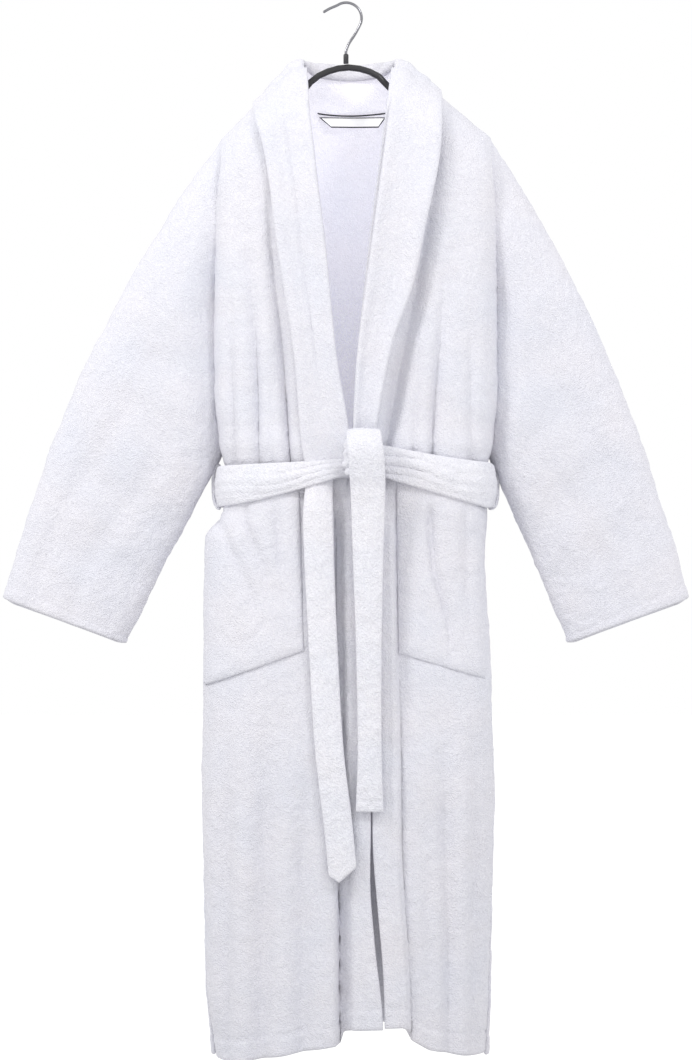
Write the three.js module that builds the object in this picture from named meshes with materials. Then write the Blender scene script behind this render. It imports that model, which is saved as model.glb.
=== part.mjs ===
// A white terry bathrobe with a shawl collar, tied at the waist and hung on a slim black hanger.
// Millimetres. +Z is up, the front of the robe faces -Y and +X is to the right of somebody facing it.
// The origin is the point inside the hook that rests on the rail.
// Cloth is drawn as thin closed walls of its real thickness, each sewn piece a wall of its own.

import * as THREE from "three";
import { mergeVertices } from "three/addons/utils/BufferGeometryUtils.js";

// ---- Driving dimensions: cloth ----
const CLOTH = 6; // terry with the pile of both faces
const HEM_CLOTH = 8; // terry turned over and stitched down
const COLLAR_CLOTH = 9; // the collar's two layers
const SEAM_GAP = 0.35; // left between pieces that are sewn or that rest on each other
const HEM_BAND = 26; // height of a turned hem

// ---- Driving dimensions: robe ----
const COLLAR_DROP = 66; // rail to the top of the collar
const ROBE_LENGTH = 1218; // top of the collar to the lowest point of the hem
const BELT_DROP = 498; // top of the collar to the top of the belt
const BELT_WIDTH = 50;
const BELT_CLOTH = 8; // the belt is a tube of cloth pressed flat
const CHEST_DROP = 200; // neck to the fullest part of the chest
const CHEST_WIDTH = 338;
const WAIST_WIDTH = CHEST_WIDTH - 24;
const HIP_DROP = 34; // below the belt, where the skirt has spread again
const HIP_WIDTH = CHEST_WIDTH + 8;
const SKIRT_WIDTH = CHEST_WIDTH + 22;
const HEM_WIDTH = HIP_WIDTH;
const NECK_SHARE = 0.36; // of the chest's depth, at the neck
const CHEST_DEPTH = 134;
const WAIST_DEPTH = 140;
const SKIRT_DEPTH = 180;
const CHEST_SHIFT = 12; // the chest hangs a little to the right of the hook
const HIP_SHIFT = -3; // and the hips a little to the left
const SHOULDER_SLOPE = 42.5; // degrees below level
const HANG_TILT = 2.7; // degrees that the hanger leans, with its right arm up
const SHOULDER_LEVEL = 14; // level stretch of the shoulder seam beside the neck
const SHOULDER_DROP = 14; // top of the collar to the shoulder seam beside the neck
const SHOULDER_ROLL = 60; // height over which the cloth turns down from the shoulder seam
const NECK_HALF = 54;
const NECK_DEPTH = 44;
const NECK_SHIFT = 4;
const LAPEL_TOP_WIDTH = 50;
const LAPEL_EASE = 1.2; // the lapels lie this far off the fronts
const LAPEL_LOW_WIDTH = 38;
const MEET_RISE = 42; // top of the belt up to where the fronts meet
const FRONT_EDGE = 28; // where the two front edges meet below the belt, to the right of the hook
const FRONT_EDGE_HEM = 45; // and where they meet at the hem
const FRONT_EDGE_RISE = 46; // the hem rises this much towards the front edges
const FRONT_SWING = 8; // degrees that each front swings aside below the belt
const HEM_CURVE = 0.8; // exponent of that rise
const BAND_WIDTH = 26; // the faced strip along each front edge
const ROUND = 4; // exponent of the body's rounded outline

// ---- Driving dimensions: sleeves, pockets, tails ----
const ARMHOLE_DEPTH = 462; // neck to the underarm, straight down
const GUSSET = 50; // height over which the armhole's edges close to the side seam
const ARMHOLE_SHARE = 0.62; // of the body's depth, which the armhole takes up
const SLEEVE_SPAN = 419; // hook to the outer corner of the cuff, sideways
const SLEEVE_DROP = 727; // rail to the outer corner of the cuff
const CUFF_ACROSS = 150; // outer to inner corner of the cuff, sideways
const CUFF_SLANT = 54; // the inner corner hangs this much lower
const CUFF_DEPTH = 54;
const CUFF_BAND = 24;
const POCKET_WIDTH = 98;
const POCKET_HEIGHT = 196;
const POCKET_DROP = 3; // top of the skirt front to the pocket's mouth, at the side
const POCKET_SLACK = 16; // how far the pocket's mouth stands off the skirt
const POCKET_EASE = 0.8; // and how far its sewn edges do
const POCKET_PLACE = 0.67; // of the hips' half width, at which the middle of a pocket sits
const TAIL_CLOTH = 8;
const MAIN_TAIL_LENGTH = 402;
const MAIN_TAIL_WIDTH = 36;
const MAIN_TAIL_X = 28; // hook to the middle of the tail's top edge
const MAIN_TAIL_LEAN = 2; // how far it has moved to the right at its foot
const LONG_TAIL_LENGTH = 448;
const LONG_TAIL_WIDTH = 36;
const LONG_TAIL_X = -34;
const LONG_TAIL_LEAN = 26;
const KNOT_WIDTH = 50;
const KNOT_HEIGHT = 58;
const KNOT_DEPTH = 34;
const KNOT_SHIFT = 21; // the knot sits right of the hook
const KNOT_RISE = 12; // the belt climbs this much from the sides to the knot
const BELT_PINCH = 10; // how much narrower the belt is where the knot gathers it
const LOOP_CLOTH = 2.4;
const LOOP_WIDTH = 12;

// ---- Driving dimensions: hanger ----
const WIRE = 3.4; // the hook's wire
const HOOK_RADIUS = 19;
const FERRULE = 6.4;
const FERRULE_LENGTH = 12;
const RUNNING_GAP = 0.3; // radial, so that the hook turns in the ferrule
const BAR_WIDTH = 8;
const BAR_HEIGHT = 7;
const BAR_TOP = 74; // rail to the top of the bar
const HANGER_HALF = 186;
const YOKE_HALF = 36; // the bar is nearly level this far, then turns down to the shoulders
const YOKE_DROP = 10;

// ---- Heights and places worked out from those ----
const rad = THREE.MathUtils.degToRad;
const Z_COLLAR = -COLLAR_DROP;
const Z_NECK = Z_COLLAR - SHOULDER_DROP;
const Z_BELT_TOP = Z_COLLAR - BELT_DROP;
const Z_BELT = Z_BELT_TOP - BELT_WIDTH / 2;
const Z_BELT_LOW = Z_BELT_TOP - BELT_WIDTH;
const Z_HEM = Z_COLLAR - ROBE_LENGTH;
const Z_CHEST = Z_NECK - CHEST_DROP;
const Z_UNDERARM = Z_NECK - ARMHOLE_DEPTH;
const Z_GUSSET = Z_UNDERARM + GUSSET;
const Z_FLARE = Z_BELT_LOW - LOOP_CLOTH - 4 * SEAM_GAP; // the skirt spreads from below the belt loops
const Z_HIP = Z_BELT_LOW - HIP_DROP;
const Z_SKIRT = (Z_HIP + Z_HEM) / 2;
const NECK_R = NECK_HALF + SHOULDER_LEVEL; // the shoulder seams start to fall here

const robe = new THREE.Group();

// ---- Materials ----
const finish = (color, roughness, metalness = 0) => () =>
  new THREE.MeshStandardMaterial({ color, roughness, metalness });
const terry = finish(0xf3f3f8, 0.95);
const labelCloth = finish(0xf0f0ee, 0.8);
const darkThread = finish(0x2a2a30, 0.7);
const blackBar = finish(0x17171a, 0.4);
const steel = finish(0xb9babd, 0.25, 1);

// ---- Helpers ----

// A value that runs smoothly through [height, value] pairs, given from the top down.
function profile(pairs) {
  return (z) => {
    if (z >= pairs[0][0]) return pairs[0][1];
    for (let i = 1; i < pairs.length; i += 1) {
      const [z0, a] = pairs[i - 1];
      const [z1, b] = pairs[i];
      if (z >= z1) return THREE.MathUtils.lerp(a, b, THREE.MathUtils.smoothstep((z0 - z) / (z0 - z1), 0, 1));
    }
    return pairs.at(-1)[1];
  };
}

// Shared vertices are merged, and the faces are turned round if a map has mirrored them.
function closed(geometry) {
  geometry.deleteAttribute("normal");
  geometry.deleteAttribute("uv");
  const merged = mergeVertices(geometry, 1e-3);
  const p = merged.attributes.position;
  const index = merged.index.array;
  const corner = (i) => new THREE.Vector3().fromBufferAttribute(p, index[i]);
  let volume = 0;
  for (let i = 0; i < index.length; i += 3) {
    volume += corner(i).dot(corner(i + 1).cross(corner(i + 2)));
  }
  if (volume < 0) {
    for (let i = 0; i < index.length; i += 3) {
      [index[i + 1], index[i + 2]] = [index[i + 2], index[i + 1]];
    }
  }
  merged.computeVertexNormals();
  return merged;
}

function place(name, geometry, material) {
  const mesh = new THREE.Mesh(closed(geometry), material());
  mesh.name = name;
  robe.add(mesh);
  return mesh;
}

// The unit normal of a surface given by surface(u, v), from its slopes.
function normalOf(surface, u, v) {
  const d = 1e-3;
  const [u0, u1] = [Math.max(0, u - d), Math.min(1, u + d)];
  const [v0, v1] = [Math.max(0, v - d), Math.min(1, v + d)];
  const across = surface(u1, v).sub(surface(u0, v));
  const down = surface(u, v1).sub(surface(u, v0));
  return across.cross(down).normalize();
}

// A wall of cloth: a box bent onto surface(u, v), half its thickness to each side.
function wall(surface, nu, nv, thickness) {
  const geometry = new THREE.BoxGeometry(1, 1, 1, nu, nv, 1);
  const p = geometry.attributes.position;
  for (let i = 0; i < p.count; i += 1) {
    const [u, v, side] = [p.getX(i) + 0.5, p.getY(i) + 0.5, p.getZ(i)];
    const normal = normalOf(surface, u, v);
    const at = surface(u, v).addScaledVector(normal, side * thickness);
    p.setXYZ(i, at.x, at.y, at.z);
  }
  return geometry;
}

// A surface moved off another one, towards the outside of the robe.
const lifted = (surface, distance, outward) => (u, v) => {
  const normal = normalOf(surface, u, v);
  if (normal.dot(outward) < 0) normal.negate();
  return surface(u, v).addScaledVector(normal, distance);
};

const lerp = THREE.MathUtils.lerp;
const signedPower = (x, e) => Math.sign(x) * Math.abs(x) ** e;

// ---- The body's outline ----

const halfWidth = profile([
  [Z_CHEST, CHEST_WIDTH / 2],
  [Z_BELT_TOP, WAIST_WIDTH / 2],
  [Z_FLARE, WAIST_WIDTH / 2],
  [Z_HIP, HIP_WIDTH / 2],
  [Z_SKIRT, SKIRT_WIDTH / 2],
  [Z_HEM, HEM_WIDTH / 2],
]);
const shift = profile([
  [Z_FLARE, CHEST_SHIFT],
  [Z_HIP, HIP_SHIFT],
  [Z_HEM, 0],
]);
const depth = profile([
  [Z_NECK, CHEST_DEPTH * NECK_SHARE],
  [Z_CHEST, CHEST_DEPTH / 2],
  [Z_BELT_TOP, WAIST_DEPTH / 2],
  [Z_FLARE, WAIST_DEPTH / 2],
  [Z_SKIRT, SKIRT_DEPTH / 2],
]);

// A point of the rounded outline: angle 0 is the right side seam, 90 degrees the middle of the front.
function outline(angle, z) {
  const x = shift(z) + halfWidth(z) * signedPower(Math.cos(angle), 2 / ROUND);
  const y = -depth(z) * signedPower(Math.sin(angle), 2 / ROUND);
  return new THREE.Vector3(x, y, z);
}
const outlineAngle = (x, z) => Math.acos(signedPower((x - shift(z)) / halfWidth(z), ROUND / 2));

// Height of the shoulder seam, level across the neck and then falling to each side.
const shoulderZ = (x) => {
  const slope = SHOULDER_SLOPE - Math.sign(x - NECK_SHIFT) * HANG_TILT;
  return Z_NECK - Math.max(0, Math.abs(x - NECK_SHIFT) - NECK_R) * Math.tan(rad(slope));
};

// How far the neck opening reaches behind the shoulder seam.
const neckY = (x) => NECK_DEPTH * Math.sqrt(Math.max(0, 1 - ((x - NECK_SHIFT) / NECK_HALF) ** 2));

// How far the cloth has turned from the shoulder seam to its full depth, at a drop below the seam.
const turned = (drop) => (drop >= SHOULDER_ROLL ? 1 : Math.sqrt(1 - (1 - drop / SHOULDER_ROLL) ** 2));

// A panel that starts at the shoulder seam. angleAt(u, z) places its columns on the outline and lipAt(x)
// its top edge. The first rows turn over the shoulder, and the rest run through the given levels.
const TURN_ROWS = 6;
function fromShoulder(angleAt, lipAt, spans) {
  const rows = TURN_ROWS + spans.reduce((sum, [, count]) => sum + count, 0);
  const turnedTo = (u, drop) => {
    let z = Z_NECK - drop;
    for (let i = 0; i < 12; i += 1) z = shoulderZ(outline(angleAt(u, z), z).x) - drop;
    return z;
  };
  const levelAt = (level, u, from) => {
    if (typeof level !== "function") return level;
    let z = from;
    for (let i = 0; i < 8; i += 1) z = level(outline(angleAt(u, z), z).x);
    return z;
  };
  const surface = (u, v) => {
    let row = v * rows;
    if (row < TURN_ROWS) {
      const drop = SHOULDER_ROLL * (1 - Math.cos((row / TURN_ROWS) * (Math.PI / 2)));
      const z = turnedTo(u, drop);
      const at = outline(angleAt(u, z), z);
      at.y = lerp(lipAt(at.x), at.y, turned(drop));
      return at;
    }
    row -= TURN_ROWS;
    let z = turnedTo(u, SHOULDER_ROLL);
    for (const [level, count] of spans) {
      const next = levelAt(level, u, z);
      if (row <= count) {
        z = lerp(z, next, row / count);
        break;
      }
      z = next;
      row -= count;
    }
    return outline(angleAt(u, z), z);
  };
  return { surface, rows };
}

// ---- Robe: back ----

const armholeAngle = Math.asin(ARMHOLE_SHARE ** (ROUND / 2));
const WRAP_SHARE = 0.45; // of the front's depth, to which the back's side walls reach in the skirt
const wrapAngle = Math.asin(WRAP_SHARE ** (ROUND / 2));
const SIDE_SEAM = 0.02; // radians that each panel stops short of the side seam
const sideAngle = profile([
  [Z_GUSSET, armholeAngle],
  [Z_UNDERARM, SIDE_SEAM],
]);
const Z_WRAP = Z_BELT_LOW - 30; // the back's side walls reach fully forward from here down
const wrap = profile([
  [Z_FLARE, 0],
  [Z_WRAP, SIDE_SEAM + wrapAngle],
]);
const backStart = (z) => wrap(z) - sideAngle(z);

// The hem's lowest edge: lowest at the sides, rising to the front edges.
const hemZ = (x) => {
  const reach = x < FRONT_EDGE_HEM ? FRONT_EDGE_HEM + HEM_WIDTH / 2 : HEM_WIDTH / 2 - FRONT_EDGE_HEM;
  const share = Math.min(1, Math.abs(x - FRONT_EDGE_HEM) / reach);
  return Z_HEM + FRONT_EDGE_RISE * (1 - share ** HEM_CURVE);
};
const BACK_RISE = 0.4; // share of that rise in the back hem
const backHemZ = (x) => lerp(Z_HEM, hemZ(x), BACK_RISE);

const backAngle = (u, z) => lerp(backStart(z), -Math.PI - backStart(z), u);
const back = fromShoulder(backAngle, (x) => SEAM_GAP / 2 + neckY(x), [
  [Z_GUSSET, 3],
  [Z_UNDERARM, 1],
  [Z_BELT_TOP, 1],
  [Z_FLARE, 1],
  [Z_WRAP, 1],
  [Z_HIP, 1],
  [Z_SKIRT, 4],
  [(x) => backHemZ(x) + HEM_BAND + SEAM_GAP, 4],
]);
place("back_panel", wall(back.surface, 22, back.rows, CLOTH), terry);

const backHem = (u, v) => {
  const z = Z_HEM + HEM_BAND;
  const at = outline(backAngle(u, z), z);
  at.z = backHemZ(at.x) + HEM_BAND * (1 - v);
  return at;
};
place("back_hem", wall(backHem, 22, 1, HEM_CLOTH), terry);

// ---- Robe: upper fronts ----

// The roll line where each lapel turns back: straight, from the neck to where the fronts meet above the belt.
const Z_MEET = Z_BELT_TOP + MEET_RISE;
const ROLL_TOP = NECK_HALF - 2;
const ROLL_LOW = 2;
const rollX = (side, z) => {
  const share = THREE.MathUtils.clamp((Z_NECK - z) / (Z_NECK - Z_MEET), 0, 1);
  return NECK_SHIFT + lerp(side * ROLL_TOP, ROLL_LOW * (1 + side), share);
};

const sides = [
  { name: "left", side: -1 },
  { name: "right", side: 1 },
];
const rightWay = (side, angle) => (side > 0 ? angle : Math.PI - angle);
const frontLip = () => -SEAM_GAP / 2;
for (const { name, side } of sides) {
  const frontAngle = (u, z) => lerp(rightWay(side, sideAngle(z)), outlineAngle(rollX(side, z), z), u);
  const front = fromShoulder(frontAngle, frontLip, [
    [Z_GUSSET, 4],
    [Z_UNDERARM, 1],
    [Z_BELT_TOP, 1],
    [Z_BELT_LOW, 1],
  ]);
  place(`front_${name}_upper`, wall(front.surface, 10, front.rows, CLOTH), terry);
}

// ---- Shawl collar ----

const lapelWidth = profile([
  [Z_NECK, LAPEL_TOP_WIDTH],
  [Z_MEET, LAPEL_LOW_WIDTH],
]);
const beltTopAtKnot = Z_BELT_TOP + KNOT_RISE - BELT_PINCH;
const upAndOut = new THREE.Vector3(0, -1, 0.6).normalize();
for (const { name, side } of sides) {
  const lapelAngle = (u, z) => outlineAngle(rollX(side, z) + side * lapelWidth(z) * u, z);
  const under = fromShoulder(lapelAngle, frontLip, [
    [Z_GUSSET, 4],
    [Z_UNDERARM, 1],
    [Math.max(Z_BELT_TOP, beltTopAtKnot) + SEAM_GAP, 1],
  ]);
  const lapel = lifted(under.surface, (CLOTH + COLLAR_CLOTH) / 2 + LAPEL_EASE, upAndOut);
  place(`lapel_${name}`, wall(lapel, 4, under.rows, COLLAR_CLOTH), terry);
}

const COLLAR_ROLL = 12; // the folded collar behind the neck, through both layers and their fold
const COLLAR_STOP = 0.06; // radians short of the shoulder seams
const collarRoll = (u, v) => {
  const a = lerp(COLLAR_STOP, Math.PI - COLLAR_STOP, u);
  const z = lerp(Z_COLLAR, Z_NECK + CLOTH / 2 + SEAM_GAP, v);
  return new THREE.Vector3(NECK_SHIFT + NECK_HALF * Math.cos(a), SEAM_GAP + NECK_DEPTH * Math.sin(a), z);
};
place("collar_back", wall(collarRoll, 20, 2, COLLAR_ROLL), terry);

// ---- Neck label and hanging loop, inside the back ----

const LABEL_DROP = 52; // neck seam to the label's top edge
const LABEL_TOP = 82;
const LABEL_LOW = 58;
const LABEL_HEIGHT = 13;
const LABEL_CLOTH = 1;
const LABEL_TILT = 6; // the label's foot leans this far off the back
const LABEL_SHIFT = 8;
const zLabel = Z_NECK - LABEL_DROP;
const insideY = (z) => depth(z) * turned(Z_NECK - z) - CLOTH / 2 - 2 * SEAM_GAP;
const label = (u, v) => {
  const half = lerp(LABEL_TOP, LABEL_LOW, v) / 2;
  const y = insideY(zLabel) - LABEL_CLOTH - LABEL_TILT * v;
  return new THREE.Vector3(LABEL_SHIFT + lerp(-half, half, u), y, zLabel - LABEL_HEIGHT * v);
};
place("neck_label", wall(label, 4, 1, LABEL_CLOTH), labelCloth);

const LOOP_CORD = 2;
const LOOP_HALF = 43;
const LOOP_SAG = 3;
const LOOP_STAND = 0.8; // the loop stands this far off the back between its sewn ends
const loopZ = zLabel + 5;
const loopPath = new THREE.CatmullRomCurve3(
  [-1, -0.96, -0.6, 0, 0.6, 0.96, 1].map((t) => {
    const y = insideY(loopZ) - LOOP_CORD / 2 - (Math.abs(t) < 1 ? LOOP_STAND : 0);
    return new THREE.Vector3(LABEL_SHIFT + LOOP_HALF * t, y, loopZ - LOOP_SAG * (1 - t * t));
  }),
);
const disc = (radius, sides) => {
  const points = [];
  for (let i = 0; i < sides; i += 1) {
    const a = (i / sides) * 2 * Math.PI;
    points.push(new THREE.Vector2(radius * Math.cos(a), radius * Math.sin(a)));
  }
  return new THREE.Shape(points);
};
const tube = (path, radius, sides, steps) =>
  new THREE.ExtrudeGeometry(disc(radius, sides), { steps, extrudePath: path });
place("hang_loop", tube(loopPath, LOOP_CORD / 2, 8, 24), darkThread);

// ---- Sleeves: a tapered flat tube each, open at the armhole and at the cuff ----

function ring(map, around, along) {
  // The tube's wall as a lathed ring: radius 1 is the inside, radius 2 the outside.
  const corners = [];
  for (let i = 0; i <= along; i += 1) corners.push(new THREE.Vector2(2, i / along));
  for (let i = along; i >= 0; i -= 1) corners.push(new THREE.Vector2(1, i / along));
  corners.push(corners[0].clone());
  const geometry = new THREE.LatheGeometry(corners, around);
  const p = geometry.attributes.position;
  for (let i = 0; i < p.count; i += 1) {
    const radius = Math.hypot(p.getX(i), p.getZ(i));
    const at = map(Math.atan2(p.getX(i), p.getZ(i)), p.getY(i), radius > 1.5 ? 0.5 : -0.5);
    p.setXYZ(i, at.x, at.y, at.z);
  }
  return geometry;
}

const armholeHalf = (CHEST_WIDTH / 2) * Math.cos(armholeAngle) ** (2 / ROUND);
const SLEEVE_ROUND = 2.6; // exponent of the sleeve's flattened section
const ELBOW_OUT = 0.8; // share of the span at the bend of the sleeve's upper edge
const ELBOW_DOWN = 0.42; // and of the drop
for (const s of sides) {
  const { side } = s;
  const armX = CHEST_SHIFT + side * (armholeHalf + CLOTH / 2 + SEAM_GAP / 2);
  const zTop = shoulderZ(armX) + CLOTH / 2;
  const outer = new THREE.QuadraticBezierCurve(
    new THREE.Vector2(armX, zTop),
    new THREE.Vector2(side * SLEEVE_SPAN * ELBOW_OUT, lerp(zTop, -SLEEVE_DROP, ELBOW_DOWN)),
    new THREE.Vector2(side * SLEEVE_SPAN, -SLEEVE_DROP),
  );
  const cuffInner = new THREE.Vector2(side * (SLEEVE_SPAN - CUFF_ACROSS), -SLEEVE_DROP - CUFF_SLANT);
  const inner = new THREE.LineCurve(new THREE.Vector2(armX, Z_UNDERARM), cuffInner);
  s.outer = outer;
  const sleeveAt = (from, to, thickness) => (angle, along, wallSide) => {
    const t = lerp(from, to, along);
    const a = outer.getPoint(t);
    const b = inner.getPoint(t);
    const across = b.clone().sub(a);
    const half = across.length() / 2 - thickness / 2;
    const middle = a.clone().lerp(b, 0.5);
    const deep = lerp(depth(Z_CHEST) * ARMHOLE_SHARE, (CUFF_DEPTH - CLOTH) / 2, t);
    const c = signedPower(Math.cos(angle), 2 / SLEEVE_ROUND);
    const d = signedPower(Math.sin(angle), 2 / SLEEVE_ROUND);
    const point = middle.addScaledVector(across.normalize(), (half + wallSide * thickness) * c);
    return new THREE.Vector3(point.x, (deep + wallSide * thickness) * d, point.y);
  };
  const share = CUFF_BAND / outer.getLength();
  const body = sleeveAt(0, 1 - share - 0.001, CLOTH);
  const cuff = sleeveAt(1 - share, 1, HEM_CLOTH);
  place(`sleeve_${s.name}`, ring(body, 24, 9), terry);
  place(`cuff_${s.name}`, ring(cuff, 24, 1), terry);
}

// ---- Skirt fronts, each swinging aside about a point behind the knot ----

const frontEdge = (z) => lerp(FRONT_EDGE, FRONT_EDGE_HEM, (Z_BELT_LOW - z) / (Z_BELT_LOW - Z_HEM));
const SWING_GAP = 1.5; // upper front to skirt front, where they meet at the front edge
const BAND_EASE = 1; // the front bands stand this far off the hems they cover
const SIDE_RUN = 6; // between the skirt front and the back's side wall, which it moves past
const edgeTop = (x) => Z_BELT_LOW - SWING_GAP - Math.abs(x - FRONT_EDGE) * Math.tan(rad(FRONT_SWING));

for (const s of sides) {
  const { name, side } = s;
  // u runs from the side to the front edge and v from the belt to the hem.
  const sideAt = (z) => rightWay(side, Math.asin((WRAP_SHARE + SIDE_RUN / depth(z)) ** (ROUND / 2)));
  const edgeAt = (z) => outlineAngle(frontEdge(z) + side * SEAM_GAP, z);
  const column = (u, z) => outline(lerp(sideAt(z), edgeAt(z), u), z);
  const skirt = (zTopOf, zLowOf) => (u, v) => {
    const { x } = column(u, Z_HIP);
    return column(u, lerp(zTopOf(x), zLowOf(x), v));
  };
  const stitched = (x) => hemZ(x) + HEM_BAND;
  const panel = skirt(edgeTop, (x) => stitched(x) + SEAM_GAP);
  place(`skirt_front_${name}`, wall(panel, 10, 12, CLOTH), terry);
  const hem = skirt(stitched, hemZ);
  place(`skirt_hem_${name}`, wall(hem, 10, 1, HEM_CLOTH), terry);

  // The faced strip on the front edge, and the pocket, lie on the skirt.
  const onSkirt = (x, z, off) => {
    const patch = (u, v) => outline(outlineAngle(x + u - 0.5, z), z - v + 0.5);
    return lifted(patch, off, upAndOut)(0.5, 0.5);
  };
  const bandOff = (HEM_CLOTH + CLOTH) / 2 + BAND_EASE;
  const band = (u, v) => {
    const x = frontEdge(Z_BELT_LOW) + side * (SEAM_GAP + BAND_WIDTH * u);
    const z = lerp(edgeTop(x), hemZ(FRONT_EDGE_HEM), v);
    return onSkirt(frontEdge(z) + side * (SEAM_GAP + BAND_WIDTH * u), z, bandOff);
  };
  place(`front_band_${name}`, wall(band, 2, 12, CLOTH), terry);

  const zMouth = edgeTop((side * HIP_WIDTH) / 2) - POCKET_DROP;
  const pocket = (u, v) => {
    const z = zMouth - POCKET_HEIGHT * v;
    const x = HIP_SHIFT + side * ((HIP_WIDTH / 2) * POCKET_PLACE + POCKET_WIDTH * (0.5 - u));
    const slack = POCKET_SLACK * Math.sqrt(Math.sin(Math.PI * u) * (1 - v));
    return onSkirt(x, z, CLOTH + POCKET_EASE + slack);
  };
  place(`pocket_${name}`, wall(pocket, 8, 6, CLOTH), terry);
}

// ---- Belt: the run round the waist, its loops, the knot and the two tails ----

const BELT_OFF = CLOTH / 2 + SEAM_GAP + BELT_CLOTH / 2;
const waist = new THREE.Vector2(halfWidth(Z_BELT), depth(Z_BELT));

// 1 at the knot, falling to 0 at the sides and all round the back.
function nearKnot(at) {
  const reach = at.x < KNOT_SHIFT ? WAIST_WIDTH / 2 + KNOT_SHIFT : WAIST_WIDTH / 2 - KNOT_SHIFT;
  const share = Math.min(1, Math.abs(at.x - KNOT_SHIFT) / reach);
  return at.y < 0 ? (1 - share) ** 1.5 : 0;
}
const beltLow = (at) => Z_BELT_LOW + nearKnot(at) * KNOT_RISE;
const belt = (angle, along, wallSide) => {
  const at = outline(angle, Z_BELT);
  const off = BELT_OFF + wallSide * BELT_CLOTH;
  at.x = shift(Z_BELT) + ((at.x - shift(Z_BELT)) * (waist.x + off)) / waist.x;
  at.y *= (waist.y + off) / waist.y;
  const width = BELT_WIDTH - nearKnot(at) * BELT_PINCH;
  at.z = beltLow(at) + width * (1 - along);
  return at;
};
place("belt_waist", ring(belt, 48, 1), terry);

for (const { name, side } of sides) {
  const inner = side * (waist.x + BELT_OFF + BELT_CLOTH / 2 + SEAM_GAP);
  const sewn = side * (waist.x + CLOTH / 2 + 2 * SEAM_GAP);
  const outer = inner + side * LOOP_CLOTH;
  const low = Z_BELT_LOW - SEAM_GAP;
  const high = Z_BELT_TOP + SEAM_GAP;
  const strap = new THREE.Shape();
  strap.moveTo(sewn, low);
  strap.lineTo(inner, low);
  strap.lineTo(inner, high);
  strap.lineTo(sewn, high);
  strap.lineTo(sewn, high + LOOP_CLOTH);
  strap.lineTo(outer, high + LOOP_CLOTH);
  strap.lineTo(outer, low - LOOP_CLOTH);
  strap.lineTo(sewn, low - LOOP_CLOTH);
  strap.closePath();
  const geometry = new THREE.ExtrudeGeometry(strap, { depth: LOOP_WIDTH, bevelEnabled: false });
  geometry.rotateX(Math.PI / 2);
  geometry.translate(shift(Z_BELT), LOOP_WIDTH / 2, 0);
  place(`belt_loop_${name}`, geometry, terry);
}

// The knot: a ball with flattened faces, close in front of the lapels' feet and the belt.
const Z_KNOT = Z_BELT_TOP + 9;
const lapelFace = -(waist.y + CLOTH / 2 + LAPEL_EASE + COLLAR_CLOTH);
const knotY = lapelFace - SEAM_GAP - KNOT_DEPTH / 2;
const knot = new THREE.SphereGeometry(1, 20, 12);
{
  const p = knot.attributes.position;
  const flat = (x, half) => signedPower(x, 0.7) * half;
  for (let i = 0; i < p.count; i += 1) {
    const x = KNOT_SHIFT + flat(p.getX(i), KNOT_WIDTH / 2);
    const y = knotY + flat(p.getZ(i), KNOT_DEPTH / 2);
    p.setXYZ(i, x, y, Z_KNOT + flat(p.getY(i), KNOT_HEIGHT / 2));
  }
}
place("belt_knot", knot, terry);

// Each tail hangs from its top edge down the skirt, clear of the front bands.
const TAIL_RUN = 2;
const bandFace = CLOTH / 2 + BAND_EASE + CLOTH;
const tailY = (z) => -(depth(z) + bandFace + TAIL_RUN + TAIL_CLOTH / 2);
const Z_MAIN_TOP = Z_KNOT - KNOT_HEIGHT / 2 - SEAM_GAP;
const Z_LONG_TOP = beltLow(new THREE.Vector3(LONG_TAIL_X, -waist.y, Z_BELT_LOW)) - SEAM_GAP;
const tails = [
  {
    name: "main",
    top: Z_MAIN_TOP,
    length: MAIN_TAIL_LENGTH,
    width: MAIN_TAIL_WIDTH,
    x: MAIN_TAIL_X,
    lean: MAIN_TAIL_LEAN,
    foremost: knotY,
  },
  {
    name: "long",
    top: Z_LONG_TOP,
    length: LONG_TAIL_LENGTH,
    width: LONG_TAIL_WIDTH,
    x: LONG_TAIL_X,
    lean: LONG_TAIL_LEAN,
    foremost: 0,
  },
];
for (const t of tails) {
  const surface = (u, v) => {
    const z = t.top - t.length * v;
    const x = t.x + t.lean * v + (u - 0.5) * t.width;
    return new THREE.Vector3(x, Math.min(tailY(z), t.foremost), z);
  };
  place(`belt_tail_${t.name}`, wall(surface, 2, 16, TAIL_CLOTH), terry);
}

// ---- Hanger: a bar with a ferrule, in which the wire hook turns ----

const HEAD_HEIGHT = 1.6;
const ferruleFoot = -BAR_TOP + 3 * SEAM_GAP;
const chamberFloor = ferruleFoot + 1.2;
const chamberTop = chamberFloor + HEAD_HEIGHT + 3 * RUNNING_GAP;
const bore = WIRE / 2 + RUNNING_GAP;
const head = bore + 0.5;
const chamber = head + RUNNING_GAP;
const lathe = (points, around) => {
  const geometry = new THREE.LatheGeometry(
    points.map(([r, z]) => new THREE.Vector2(r, z)),
    around,
  );
  return geometry.rotateX(Math.PI / 2);
};
const ferruleTop = ferruleFoot + FERRULE_LENGTH;
const ferrule = [
  [0, ferruleFoot],
  [FERRULE / 2, ferruleFoot],
  [FERRULE / 2, ferruleTop - 1],
  [FERRULE / 2 - 0.6, ferruleTop],
  [bore, ferruleTop],
  [bore, chamberTop],
  [chamber, chamberTop],
  [chamber, chamberFloor],
  [0, chamberFloor],
];
place("neck_ferrule", lathe(ferrule, 24), blackBar);
const headTop = chamberFloor + RUNNING_GAP + HEAD_HEIGHT;
const headPoints = [
  [0, headTop - HEAD_HEIGHT],
  [head, headTop - HEAD_HEIGHT],
  [head, headTop],
  [0, headTop],
];
place("hook_head", lathe(headPoints, 20), steel);

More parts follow.
